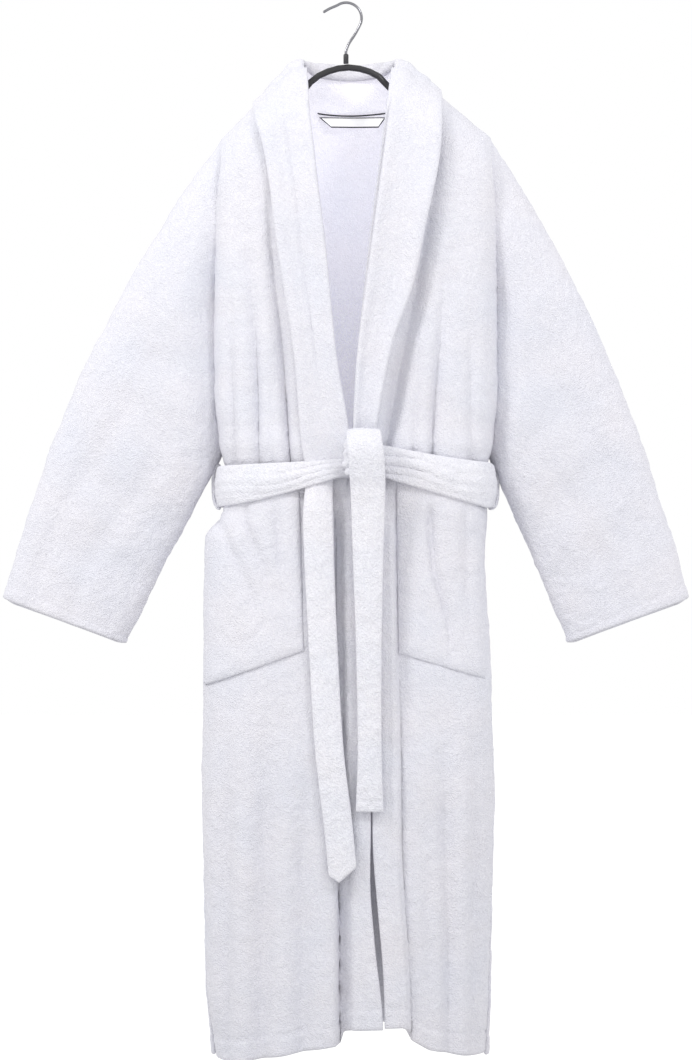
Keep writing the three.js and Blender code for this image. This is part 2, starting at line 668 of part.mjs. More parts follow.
// The hook's wire: a straight shank, a lean to the right, the round bend over the rail and a turned-up tip.
const bendZ = WIRE / 2 - HOOK_RADIUS;
const bend = (degrees, radius = HOOK_RADIUS) =>
  new THREE.Vector3(radius * Math.cos(rad(degrees)), 0, bendZ + radius * Math.sin(rad(degrees)));
const shankTop = ferruleTop + 4;
const hookPoints = [
  new THREE.Vector3(0, 0, headTop + SEAM_GAP),
  new THREE.Vector3(0, 0, (headTop + shankTop) / 2),
  new THREE.Vector3(0, 0, shankTop),
  new THREE.Vector3(HOOK_RADIUS * 0.2, 0, shankTop + 9),
  new THREE.Vector3(HOOK_RADIUS * 0.58, 0, shankTop + 20),
];
const BEND_STEP = 31;
for (let degrees = -25; degrees <= 130; degrees += BEND_STEP) hookPoints.push(bend(degrees));
hookPoints.push(bend(150, HOOK_RADIUS * 1.22), bend(166, HOOK_RADIUS * 1.52));
const hookPath = new THREE.CatmullRomCurve3(hookPoints, false, "centripetal");
place("hook", tube(hookPath, WIRE / 2, 10, 40), steel);

// The bar: nearly level beside the ferrule, then down to tips that bear on the sleeves' heads.
// The point and the direction of a sleeve's upper edge at a distance from the hook, found by halving.
function sleeveHead(outer, x) {
  let [near, far] = [0, 1];
  for (let i = 0; i < 40; i += 1) {
    const middle = (near + far) / 2;
    if (Math.abs(outer.getPoint(middle).x) < x) near = middle;
    else far = middle;
  }
  return { top: outer.getPoint(near), along: outer.getTangent(near) };
}
const TIP_GAP = 1.1;
const YOKE_TURN = 22; // past the yoke the bar has turned fully down
const yokeZ = -BAR_TOP - BAR_HEIGHT / 2;
const barPoints = [new THREE.Vector3(0, 0, yokeZ)];
for (const { side, outer } of sides) {
  const tilt = side * YOKE_HALF * Math.tan(rad(HANG_TILT));
  const head = sleeveHead(outer, HANGER_HALF);
  const tipZ = head.top.y - CLOTH - (TIP_GAP + BAR_HEIGHT / 2) / Math.abs(head.along.x);
  const arm = [
    new THREE.Vector3(side * YOKE_HALF, 0, yokeZ - YOKE_DROP + tilt),
    new THREE.Vector3(side * (YOKE_HALF + YOKE_TURN), 0, yokeZ - YOKE_DROP - YOKE_TURN + 1.6 * tilt),
    new THREE.Vector3(side * HANGER_HALF, 0, tipZ),
  ];
  if (side < 0) barPoints.unshift(...arm.reverse());
  else barPoints.push(...arm);
}
const barPath = new THREE.CatmullRomCurve3(barPoints, false, "centripetal");
const barShape = new THREE.Shape();
barShape.absellipse(0, 0, BAR_HEIGHT / 2, BAR_WIDTH / 2, 0, 2 * Math.PI);
const bar = new THREE.ExtrudeGeometry(barShape, { steps: 36, extrudePath: barPath, curveSegments: 6 });
place("hanger_bar", bar, blackBar);

export default robe;
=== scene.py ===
import math

import bpy
import numpy as np
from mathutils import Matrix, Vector


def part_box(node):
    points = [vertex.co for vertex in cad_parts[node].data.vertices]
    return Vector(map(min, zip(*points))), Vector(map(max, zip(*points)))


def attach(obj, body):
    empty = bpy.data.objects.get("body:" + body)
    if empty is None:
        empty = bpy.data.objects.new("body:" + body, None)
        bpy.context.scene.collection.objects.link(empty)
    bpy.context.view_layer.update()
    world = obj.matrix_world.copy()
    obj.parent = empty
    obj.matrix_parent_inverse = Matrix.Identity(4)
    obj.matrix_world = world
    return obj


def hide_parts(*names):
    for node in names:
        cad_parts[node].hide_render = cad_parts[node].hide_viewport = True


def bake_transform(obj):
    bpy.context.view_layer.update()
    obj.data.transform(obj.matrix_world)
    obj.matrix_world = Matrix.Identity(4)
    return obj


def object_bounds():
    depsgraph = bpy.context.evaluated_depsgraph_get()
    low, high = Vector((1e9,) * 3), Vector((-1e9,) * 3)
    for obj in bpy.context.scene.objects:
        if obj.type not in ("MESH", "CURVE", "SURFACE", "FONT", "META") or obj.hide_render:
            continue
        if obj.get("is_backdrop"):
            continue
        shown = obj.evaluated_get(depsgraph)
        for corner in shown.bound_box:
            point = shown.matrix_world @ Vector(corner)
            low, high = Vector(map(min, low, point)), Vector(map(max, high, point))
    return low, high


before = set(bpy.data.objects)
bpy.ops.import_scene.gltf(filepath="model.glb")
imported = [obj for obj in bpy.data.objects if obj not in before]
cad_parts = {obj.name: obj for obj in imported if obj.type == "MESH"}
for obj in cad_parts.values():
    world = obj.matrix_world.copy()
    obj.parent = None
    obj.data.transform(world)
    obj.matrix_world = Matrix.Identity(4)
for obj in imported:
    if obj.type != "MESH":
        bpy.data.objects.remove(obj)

CAD_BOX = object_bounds()
MM = 0.001
ROOT = bpy.context.scene.collection

# ---------------------------------------------------------------- camera and light

# The robe is seen from straight in front, level with its middle, by a long lens.
CAMERA_DISTANCE = 3.6
FRAME_HEIGHT = 1.2932
FRAME_MIDDLE = -0.6417
camera_data = bpy.data.cameras.new("camera")
camera_data.sensor_width = 36.0
camera_data.lens = 36.0 * CAMERA_DISTANCE / FRAME_HEIGHT
camera = bpy.data.objects.new("camera", camera_data)
camera.location = (0.0, -CAMERA_DISTANCE, FRAME_MIDDLE)
camera.rotation_euler = (math.radians(90), 0, 0)
ROOT.objects.link(camera)
bpy.context.scene.camera = camera
bpy.context.scene.view_settings.view_transform = "Standard"
bpy.context.scene.view_settings.look = "None"


def area_light(name, location, target, size, watts, color=(1, 1, 1)):
    data = bpy.data.lights.new(name, "AREA")
    data.shape = "DISK"
    data.size = size
    data.energy = watts
    data.color = color
    light = bpy.data.objects.new(name, data)
    light.location = location
    aim = Vector(target) - Vector(location)
    light.rotation_euler = aim.to_track_quat("-Z", "Y").to_euler()
    ROOT.objects.link(light)


area_light("key", (-1.5, -1.3, 0.9), (0, 0, -0.3), 0.5, 17, (1.0, 0.995, 0.98))
area_light("fill", (1.2, -1.8, 1.1), (0, 0, -0.3), 0.6, 14, (0.98, 0.98, 1.0))
area_light("back_fill", (1.6, 2.6, 0.4), (0, 0, -0.6), 1.6, 5, (0.97, 0.98, 1.0))

world = bpy.data.worlds.new("studio")
bpy.context.scene.world = world
world.use_nodes = True
world.node_tree.nodes["Background"].inputs["Color"].default_value = (1.0, 1.0, 1.0, 1)
world.node_tree.nodes["Background"].inputs["Strength"].default_value = 1.0

# ---------------------------------------------------------------- numbers of the robe, in millimetres

# Heights and widths repeat part.mjs's, but the skirt is a little narrower, as in the photograph.
ROUND = 4.0  # the power of the superellipse that each section of the body is
Z_NECK = -80.0
Z_CHEST = -280.0
Z_UNDERARM = -542.0
Z_BELT_TOP = -564.0
Z_BELT = -589.0
Z_BELT_LOW = -614.0
Z_FLARE = -618.0
Z_HIP = -655.0
Z_POCKET = -830.0
Z_SKIRT = -966.0
Z_SHIN = -1190.0
Z_HEM = -1284.0
NECK_SHIFT = 4.0
NECK_R = 68.0
NECK_HALF = 54.0
NECK_DEPTH = 44.0
SHOULDER_SLOPE = 42.5
HANG_TILT = 2.7
SHOULDER_ROLL = 60.0
HALF = 2.9  # half of the cloth's thickness
BELT_HALF = 3.4
COLLAR_HALF = 3.4
STEP = 3.6  # between the points of a grid


def profile(z, pairs):
    """A value that runs smoothly through (height, value) pairs, given from the top down."""
    z = np.asarray(z, float)
    out = np.full(z.shape, float(pairs[0][1]))
    for (z0, a), (z1, b) in zip(pairs, pairs[1:]):
        t = np.clip((z0 - z) / (z0 - z1), 0, 1)
        out = np.where(z < z0, a + (b - a) * t * t * (3 - 2 * t), out)
    return out


def smooth(a, b, x):
    """A soft step: 0 up to a, 1 from b."""
    t = np.clip((x - a) / (b - a), 0, 1)
    return t * t * (3 - 2 * t)


def lerp(a, b, t):
    return a + (b - a) * t


def half_width(z):
    chest = [(Z_UNDERARM + 60, 169), (Z_BELT_TOP, 157), (Z_FLARE, 157)]
    skirt = [(Z_HIP, 166.5), (Z_POCKET, 172), (Z_SKIRT, 174), (Z_SHIN, 170.5), (Z_HEM, 165)]
    return profile(z, chest + skirt)


def shift(z):
    """How far the middle of the body hangs to the right of the hook."""
    return profile(z, [(Z_FLARE, 12), (Z_HIP, -1.5), (Z_POCKET, 2), (Z_SHIN, 3), (Z_HEM, 5)])


def depth(z):
    """Half of the body's depth, from front to back."""
    return profile(z, [(Z_NECK, 48.2), (Z_CHEST, 67), (Z_BELT_TOP, 70), (Z_FLARE, 70), (Z_SKIRT, 90)])


def front_y(x, z):
    """How far forward the outline of the body is at a place across and a height."""
    share = np.clip(np.abs((x - shift(z)) / half_width(z)), 0, 1)
    return -depth(z) * (1 - share ** ROUND) ** (1 / ROUND)


def shoulder_z(x):
    """The height of the shoulder seam, on a hanger that leans a little."""
    slope = np.radians(SHOULDER_SLOPE - np.sign(x - NECK_SHIFT) * HANG_TILT)
    return Z_NECK - np.maximum(0, np.abs(x - NECK_SHIFT) - NECK_R) * np.tan(slope)


def turned(drop):
    """The share of the full depth that a panel has reached so far below the shoulder seam."""
    share = np.clip(drop / SHOULDER_ROLL, 0, 1)
    return np.sqrt(np.maximum(0, 1 - (1 - share) ** 2))


# ---------------------------------------------------------------- cloth tools

FORWARD = (0, -1, 0)
BACKWARD = (0, 1, 0)


def lattice(i, j, k, seed):
    """A fixed value from -1 to 1 for each whole-number place in space."""
    n = (i * 73856093) ^ (j * 19349663) ^ (k * 83492791) ^ (seed * 2654435761)
    n = n & 0xFFFFFFFF
    n = ((n ^ (n >> 13)) * 1274126177) & 0xFFFFFFFF
    return ((n ^ (n >> 16)) & 0xFFFF) / 32767.5 - 1


def noise(p, size, seed=1):
    """Smooth noise from -1 to 1 in space, with lumps of about that size."""
    q = np.asarray(p, float) / size
    cell = np.floor(q).astype(np.int64)
    f = q - cell
    f = f * f * (3 - 2 * f)
    weight = (1 - f, f)
    total = 0
    for dx in (0, 1):
        for dy in (0, 1):
            for dz in (0, 1):
                w = weight[dx][..., 0] * weight[dy][..., 1] * weight[dz][..., 2]
                total = total + w * lattice(cell[..., 0] + dx, cell[..., 1] + dy, cell[..., 2] + dz, seed)
    return total


def pile(p):
    """The lumps of the terry's pile, in millimetres."""
    return 0.6 * noise(p, 7.5, 3) + 0.45 * noise(p, 4.4, 7) + 0.6 * noise(p, 19.0, 5)


def crumple(p, size, seed):
    """Broad, shallow unevenness of hanging cloth."""
    return noise(p, size, seed) + 0.45 * noise(p, size * 0.45, seed + 1)


def graded(length, step=STEP, edge=HALF):
    """Distances along a piece, closer together at its rounded ends."""
    low = np.array([0, 0.05, 0.2, 0.45, 0.8]) * edge
    high = length - low[::-1]
    a, b = low[-1], high[0]
    count = max(2, int(round((b - a) / step)))
    return np.concatenate([low[:-1], np.linspace(a, b, count + 1), high[1:]])


def rim(s, length, radius):
    """The share of the full thickness that is left near a piece's two rounded ends."""
    out = 1.0
    for d in (s, length - s):
        out = out * np.sqrt(np.clip(1 - (1 - np.clip(d / radius, 0, 1)) ** 2, 0, 1))
    return out


def rims(across, wide, down, tall, radius=3):
    return rim(across, wide, radius)[:, None] * rim(down, tall, radius)[None, :]


def groove(d, at, width, deep):
    """A line of stitching, pressed into the cloth where the distance d is at."""
    return -deep * np.exp(-(((d - at) / width) ** 2))


def power(x, e):
    return np.sign(x) * np.abs(x) ** e


def normals(p, outward, wrap=False):
    """The normals of a grid of points, on the side that outward points to."""
    if wrap:
        du = np.roll(p, -1, 0) - np.roll(p, 1, 0)
    else:
        du = np.gradient(p, axis=0)
    dv = np.gradient(p, axis=1)
    n = np.cross(du, dv)
    n = n / np.maximum(np.linalg.norm(n, axis=2, keepdims=True), 1e-9)
    return -n if (n * np.asarray(outward, float)).sum() < 0 else n


def from_axis(p):
    """The way out of a tube of points, away from its middle line."""
    return p - p.mean(axis=0, keepdims=True)


def shell(name, p, half, outward, material, wrap=False, relief=0.0, lumps=1.0, inside=0.0):
    """A closed piece of cloth: a grid of points in millimetres, given its thickness and its pile.

    inside is how brightly its inner face glows, which is painted light: it stands for the light that seeps
    through the cloth into it.
    """
    n = normals(p, outward, wrap)
    half = half * np.ones(p.shape[:2])
    full = np.clip(half / max(half.max(), 1e-6), 0, 1)
    out = p + n * (half + (relief + lumps * pile(p)) * full)[..., None]
    back = p - n * (half + lumps * 0.8 * pile(p + 300.0) * full)[..., None]
    nu, nv = p.shape[:2]
    outer = np.arange(nu * nv).reshape(nu, nv)
    border = np.zeros((nu, nv), bool)
    border[:, 0] = border[:, -1] = True
    if not wrap:
        border[0, :] = border[-1, :] = True
    inner = outer.copy()
    inner[~border] = nu * nv + np.arange((~border).sum())
    out[border] = p[border]
    points = np.concatenate([out.reshape(-1, 3), back[~border]]) * MM

    def quads(index):
        a = index if wrap else index[:-1]
        b = np.roll(index, -1, 0) if wrap else index[1:]
        return np.stack([a[:, :-1], b[:, :-1], b[:, 1:], a[:, 1:]], -1).reshape(-1, 4)

    faces = np.concatenate([quads(outer), quads(inner)[:, ::-1]])
    corners = points[faces]
    volume = np.einsum("ij,ij->i", corners[:, 0], np.cross(corners[:, 1], corners[:, 2])).sum()
    volume += np.einsum("ij,ij->i", corners[:, 0], np.cross(corners[:, 2], corners[:, 3])).sum()
    if volume < 0:
        faces = faces[:, ::-1]
    obj = mesh_object(name, points, faces, material)
    height = points[:, 2]
    # painted light: the inner face glows, brightest near the neck and faint below the belt
    glow = inside * (0.12 + 0.88 * smooth(-0.66, -0.5, height))
    glow = glow * (0.8 + 0.4 * smooth(-0.45, -0.15, height))
    on_inner = np.arange(len(points)) >= nu * nv
    seep = obj.data.attributes.new("seep", "FLOAT", "POINT")
    seep.data.foreach_set("value", np.where(on_inner, glow, 0.0).astype(np.float32))
    return obj


def mesh_object(name, points, faces, material):
    mesh = bpy.data.meshes.new(name)
    mesh.from_pydata(points.tolist(), [], [list(map(int, f)) for f in faces])
    mesh.polygons.foreach_set("use_smooth", np.ones(len(mesh.polygons), bool))
    mesh.update()
    obj = bpy.data.objects.new(name, mesh)
    ROOT.objects.link(obj)
    mesh.materials.append(material)
    return obj


def spline(points, count):
    """A smooth line through points, evenly spaced along its length."""
    pts = np.array(points, float)
    ext = np.vstack([2 * pts[0] - pts[1], pts, 2 * pts[-1] - pts[-2]])
    out = []
    for i in range(1, len(ext) - 2):
        t = np.linspace(0, 1, 24, endpoint=i == len(ext) - 3)[:, None]
        a, b, c, d = ext[i - 1], ext[i], ext[i + 1], ext[i + 2]
        square, cube = 2 * a - 5 * b + 4 * c - d, 3 * b - a - 3 * c + d
        out.append(0.5 * (2 * b + (c - a) * t + square * t**2 + cube * t**3))
    line = np.vstack(out)
    along = np.concatenate([[0], np.cumsum(np.linalg.norm(np.diff(line, axis=0), axis=1))])
    at = np.linspace(0, along[-1], count)
    return np.stack([np.interp(at, along, line[:, k]) for k in range(line.shape[1])], 1)


def resample(line, share):
    """Points at shares of a line's length, where each row of the line is one section: (rows, points, 2)."""
    step = np.linalg.norm(np.diff(line, axis=1), axis=2)
    along = np.concatenate([np.zeros((len(line), 1)), np.cumsum(step, axis=1)], axis=1)
    out = np.zeros((len(line), share.shape[-1], line.shape[2]))
    for i in range(len(line)):
        at = (share if share.ndim == 1 else share[i]) * along[i, -1]
        for k in range(line.shape[2]):
            out[i, :, k] = np.interp(at, along[i], line[i, :, k])
    return out


def valleys(x, z, lines):
    """Folds pressed into a panel: each line is a list of (x, z, width, depth), from the top down."""
    total = np.zeros(np.broadcast(x, z).shape)
    for line in lines:
        a = np.array(line, float)[::-1]
        at, wide, deep = (np.interp(z, a[:, 1], a[:, k], left=a[0, k], right=a[-1, k]) for k in (0, 2, 3))
        ends = smooth(a[0, 1] - 30, a[0, 1], z) * (1 - smooth(a[-1, 1], a[-1, 1] + 30, z))
        total = total - deep * ends * np.exp(-np.abs((x - at) / wide) ** 1.8)
    return total


# ---------------------------------------------------------------- materials


def new_material(name):
    material = bpy.data.materials.new(name)
    material.use_nodes = True
    nodes = material.node_tree.nodes
    shader = nodes["Principled BSDF"]
    return material, nodes, material.node_tree.links, shader


def texture(nodes, links, coord, kind, scale, **values):
    node = nodes.new(kind)
    links.new(coord.outputs["Object"], node.inputs["Vector"])
    node.inputs["Scale"].default_value = scale
    for key, value in values.items():
        node.inputs[key].default_value = value
    return node


def color_ramp(nodes, links, source, start, start_color, end, end_color):
    node = nodes.new("ShaderNodeValToRGB")
    stops = zip(node.color_ramp.elements, (start, end), (start_color, end_color))
    for element, position, color in stops:
        element.position = position
        element.color = (*color, 1)
    links.new(source, node.inputs["Fac"])
    return node


def rough_range(nodes, links, source, shader, low, high):
    node = nodes.new("ShaderNodeMapRange")
    node.inputs["To Min"].default_value = low
    node.inputs["To Max"].default_value = high
    links.new(source, node.inputs["Value"])
    links.new(node.outputs["Result"], shader.inputs["Roughness"])


def bump(nodes, links, source, shader, strength, distance):
    node = nodes.new("ShaderNodeBump")
    node.inputs["Strength"].default_value = strength
    node.inputs["Distance"].default_value = distance
    links.new(source, node.inputs["Height"])
    links.new(node.outputs["Normal"], shader.inputs["Normal"])


def terry_material(name, light, shade, loop=560.0, strength=0.7):
    """Looped cotton pile in clumps, with painted shade: lighter at the loops' tips, darker in the hollows
    between them. A soft sheen, and painted light: faces glow as their seep attribute says.
    """
    material, nodes, links, shader = new_material(name)
    coord = nodes.new("ShaderNodeTexCoord")
    loops = texture(nodes, links, coord, "ShaderNodeTexVoronoi", loop)
    clumps = texture(nodes, links, coord, "ShaderNodeTexNoise", 260.0, Detail=4.0, Roughness=0.65)
    broad = texture(nodes, links, coord, "ShaderNodeTexNoise", 14.0, Detail=3.0, Roughness=0.5)
    mix = nodes.new("ShaderNodeMath")
    mix.operation = "MULTIPLY_ADD"
    links.new(loops.outputs["Distance"], mix.inputs[0])
    mix.inputs[1].default_value = -0.55
    links.new(clumps.outputs["Fac"], mix.inputs[2])
    # painted shade: the colour runs from shade between the loops to light at their tips, following the bump's
    # height
    ramp = color_ramp(nodes, links, mix.outputs[0], 0.12, shade, 0.5, light)
    tint = nodes.new("ShaderNodeMix")
    tint.data_type = "RGBA"
    tint.blend_type = "MULTIPLY"
    tint.inputs["Factor"].default_value = 0.55
    cool = color_ramp(nodes, links, broad.outputs["Fac"], 0.3, (0.925, 0.945, 1.0), 0.7, (1.0, 0.98, 0.995))
    links.new(ramp.outputs["Color"], tint.inputs["A"])
    links.new(cool.outputs["Color"], tint.inputs["B"])
    links.new(tint.outputs["Result"], shader.inputs["Base Color"])
    rough_range(nodes, links, clumps.outputs["Fac"], shader, 0.86, 1.0)
    # painted light: faces glow in the cloth's own colour, as strongly as their seep attribute says
    inner = nodes.new("ShaderNodeAttribute")
    inner.attribute_name = "seep"
    glow = nodes.new("ShaderNodeMix")
    glow.data_type = "RGBA"
    glow.inputs["A"].default_value = (0, 0, 0, 1)
    links.new(inner.outputs["Fac"], glow.inputs["Factor"])
    links.new(tint.outputs["Result"], glow.inputs["B"])
    links.new(glow.outputs["Result"], shader.inputs["Emission Color"])
    shader.inputs["Emission Strength"].default_value = 1.0
    shader.inputs["Specular IOR Level"].default_value = 0.12
    shader.inputs["Sheen Weight"].default_value = 0.12
    shader.inputs["Sheen Roughness"].default_value = 0.6
    bump(nodes, links, mix.outputs[0], shader, strength, 0.0022)
    return material


def plain_material(
    name, color, roughness, metallic=0.0, grain=900.0, bump_height=0.00008, variation=0.12, coat=0.0
):
    """A plain finish with slight wear: the roughness and the colour wander a little."""
    material, nodes, links, shader = new_material(name)
    coord = nodes.new("ShaderNodeTexCoord")
    fine = texture(nodes, links, coord, "ShaderNodeTexNoise", grain, Detail=3.0)
    broad = texture(nodes, links, coord, "ShaderNodeTexNoise", 60.0, Detail=2.0)
    dark, pale = [c * (1 - variation) for c in color], [min(1, c * (1 + variation)) for c in color]
    ramp = color_ramp(nodes, links, broad.outputs["Fac"], 0.3, dark, 0.7, pale)
    links.new(ramp.outputs["Color"], shader.inputs["Base Color"])
    rough_range(nodes, links, fine.outputs["Fac"], shader, max(0.02, roughness - 0.07), roughness + 0.07)
    bump(nodes, links, fine.outputs["Fac"], shader, 0.4, bump_height)
    shader.inputs["Metallic"].default_value = metallic
    shader.inputs["Coat Weight"].default_value = coat
    shader.inputs["Coat Roughness"].default_value = 0.12
    return material


TERRY = terry_material("terry_pile", (0.80, 0.797, 0.828), (0.715, 0.71, 0.757))
# The belt's copy of the pile is lighter than the robe's, painted light for the puffy belt that stands forward
# into the light; it also has coarser loops and a stronger bump.
BELT_TERRY = terry_material("belt_pile", (0.86, 0.858, 0.882), (0.76, 0.755, 0.797), 470.0, 0.8)
HANGER = plain_material("hanger_satin_black", (0.012, 0.012, 0.014), 0.34, coat=0.25)
STEEL = plain_material("hook_bright_wire", (0.27, 0.27, 0.29), 0.2, metallic=1.0)
THREAD = plain_material("dark_cord", (0.03, 0.03, 0.035), 0.75, grain=2600.0, bump_height=0.0003)

# ---------------------------------------------------------------- how a piece joins the frame


def place(obj, body, nodes):
    """Ride on a body, or, given a joint between two, stay fixed in the world; either way in place of CAD
    nodes.
    """
    if isinstance(body, str):
        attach(obj, body)
    else:
        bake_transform(obj)
    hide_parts(*nodes)


def cloth(obj, body, nodes):
    """Say which body or joint a sheet goes with, and which CAD nodes it stands for."""
    place(obj, body, nodes)

# ---------------------------------------------------------------- the loop inside the neck, a short cord

LOOP_POINTS = [
    (-35, 44.6, -127), (-32, 44.2, -128), (-14, 43.9, -130), (8, 43.9, -130.6),
    (30, 43.9, -129.4), (48, 44.2, -127.4), (51.5, 44.6, -126.5),
]
LOOP_RADIUS = 1.0
LOOP = spline(LOOP_POINTS, 40)
loop_curve = bpy.data.curves.new("hang_loop_cord", "CURVE")
loop_curve.dimensions = "3D"
loop_curve.bevel_depth = LOOP_RADIUS * MM
loop_curve.bevel_resolution = 3
loop_curve.use_fill_caps = True
run = loop_curve.splines.new("POLY")
run.points.add(len(LOOP) - 1)
for point, at in zip(run.points, LOOP):
    point.co = (*(at * MM), 1)
loop_cord = bpy.data.objects.new("hang_loop_cord", loop_curve)
ROOT.objects.link(loop_cord)
loop_curve.materials.append(THREAD)
place(loop_cord, "loop", ["hang_loop"])

# ---------------------------------------------------------------- the body's sections


def edge_angle(share):
    """The angle on the outline where that share of the full depth is reached."""
    return math.asin(min(1.0, share) ** (ROUND / 2))


def arc(z, a0, a1, count):
    """The outline from one angle to another at each height: (rows, points, 2). The right seam is at 0."""
    t = np.linspace(0, 1, count)
    a = a0[:, None] + (a1 - a0)[:, None] * t[None, :]
    c, s = np.cos(a), np.sin(a)
    x = shift(z)[:, None] + half_width(z)[:, None] * np.sign(c) * np.abs(c) ** (2 / ROUND)
    y = -depth(z)[:, None] * np.sign(s) * np.abs(s) ** (2 / ROUND)
    return np.stack([x, y], -1)


def look_up(table, row, column):
    """Points between a table's own, at rows and columns that needn't be whole numbers."""
    j, i = (np.minimum(at.astype(int), count - 2) for at, count in zip((row, column), table.shape))
    a, b = (column - i)[..., None], (row - j)[..., None]
    return lerp(lerp(table[j, i], table[j, i + 1], a), lerp(table[j + 1, i], table[j + 1, i + 1], a), b)


def row_at(levels, z):
    """The place of a height among levels that run evenly down."""
    return np.clip((levels[0] - z) / (levels[0] - levels[-1]), 0, 1) * (len(levels) - 1)


def angle_at(x, z):
    """The angle on the front outline at a place across."""
    share = np.clip((x - shift(z)) / half_width(z), -1, 1)
    return np.arccos(np.sign(share) * np.abs(share) ** (ROUND / 2))


class Panel:
    """A panel from the shoulder seam down: share 0 to 1 across it, at any height."""

    def __init__(self, z_top, z_low, start, end):
        self.z = np.linspace(z_top, z_low, 150)
        lines = arc(self.z, start(self.z), end(self.z), 1200)
        self.shares = np.linspace(0, 1, 240)
        self.points = resample(lines, self.shares)

    def at(self, share, z):
        """x and y at shares across and heights, from the stored sections."""
        return look_up(self.points, row_at(self.z, z), np.clip(share, 0, 1) * (len(self.shares) - 1))


def side_share(z):
    """How much of the depth is left at a front's or the back's outer edge beside the sleeve."""
    open_edge = profile(z, [(-190, 0.60), (-300, 0.36), (Z_UNDERARM + 40, 0.30), (Z_UNDERARM - 14, 0.03)])
    return np.arcsin(np.clip(open_edge, 0, 1) ** (ROUND / 2))


def from_shoulder(panel, shares, downs, z_low, lip):
    """Points of a panel hung from the shoulder seam, with shares across and shares down, 0 at the seam."""
    u, v = np.meshgrid(shares, downs, indexing="ij")
    z_top = np.full(shares.shape, Z_NECK)
    for _ in range(14):
        z_top = shoulder_z(panel.at(shares, z_top)[..., 0])
    z = lerp(z_top[:, None], z_low, v)
    for _ in range(10):
        x = panel.at(u, z)[..., 0]
        top = shoulder_z(x) * (1 - smooth(0, 0.35, v)) + z_top[:, None] * smooth(0, 0.35, v)
        z = lerp(top, z_low, v)
    xy = panel.at(u, z)
    drop = lerp(z_top[:, None], z_low, 0) - z
    y = lerp(lip(xy[..., 0]), xy[..., 1], turned(np.maximum(0, drop)))
    return np.stack([xy[..., 0], y, z], -1)


def roll_x(side, z):
    """The roll line of the lapels: two gentle curves that meet just above the belt."""
    t = np.clip((Z_NECK - z) / (Z_NECK + 530.0), 0, 1)
    top, low = (-47.0, 2.0) if side < 0 else (55.0, 7.0)
    return lerp(top, low, t + 0.10 * side * np.sin(np.pi * t) - 0.02 * np.sin(2 * np.pi * t))


# ---------------------------------------------------------------- upper fronts

# Each fold is a valley: (across, height, width, depth), from the top down.
FRONT_FOLDS = {
    -1: [
        [(-95, -215, 9, 0), (-90, -300, 8, 5), (-76, -430, 8, 9), (-70, -520, 6, 10), (-66, -566, 5, 8)],
        [
            (-122, -260, 10, 0), (-114, -340, 8, 4), (-108, -430, 7, 7),
            (-106, -520, 6.5, 8), (-104, -566, 6, 7),
        ],
        [(-140, -330, 8, 0), (-138, -430, 6, 4), (-136, -520, 5.5, 5), (-134, -566, 5, 5)],
        [(-92, -380, 6, 0), (-89, -470, 5, 1.5), (-87, -566, 5, 2.5)],
        [(-150, -150, 16, 0), (-128, -230, 16, 2.5), (-112, -330, 10, 0)],
    ],
    1: [
        [
            (112, -150, 10, 2), (104, -240, 12, 6), (84, -350, 13, 11),
            (62, -460, 13, 15), (50, -530, 9, 13), (46, -566, 7, 8),
        ],
        [(122, -300, 9, 0), (114, -400, 8, 5), (106, -500, 6, 9), (103, -566, 5, 8)],
        [(150, -360, 9, 0), (149, -450, 6, 2.5), (150, -566, 5, 4)],
        [(138, -170, 14, 0), (134, -260, 13, 2.5), (136, -360, 8, 0)],
        [(86, -420, 6, 0), (82, -500, 5, 3), (80, -566, 4, 4)],
    ],
}


def pinch(z):
    """The cloth swells just above the belt and is drawn in under it."""
    return 3.5 * np.exp(-(((z + 540) / 16) ** 2)) - 2.2 * smooth(-556, -570, z)


Z_FRONT_FOOT = -598.0
FRONT_WIDE = 188.0
FRONT_TALL = 516.0
SEAM_Y = 0.4  # how far the shoulder seam's two edges stand from the middle plane
for name, side in (("left", -1), ("right", 1)):
    def start(z, side=side):
        return angle_at(roll_x(side, z), z)

    def end(z, side=side):
        return np.pi - side_share(z) if side < 0 else side_share(z)

    panel = Panel(Z_NECK + 6, Z_FRONT_FOOT - 4, start, end)
    across = graded(FRONT_WIDE)
    down = graded(FRONT_TALL)
    downs = (down / FRONT_TALL) ** 1.04
    p = from_shoulder(panel, across / FRONT_WIDE, downs, Z_FRONT_FOOT, lambda x: x * 0 - SEAM_Y)
    x, z = p[..., 0], p[..., 2]
    away = smooth(0, 40, shoulder_z(x) - z)
    offset = 1.4 * valleys(x, z, FRONT_FOLDS[side]) + pinch(z) + away * 1.3 * crumple(p, 70, 21)
    p = p + normals(p, FORWARD) * offset[..., None]
    half = HALF * rims(across, FRONT_WIDE, down, FRONT_TALL)
    piece = shell(f"front_{name}_cloth", p, half, FORWARD, TERRY, inside=0.35)
    cloth(piece, "robe", [f"front_{name}_upper"])

# ---------------------------------------------------------------- back, one panel from the neck to the hem

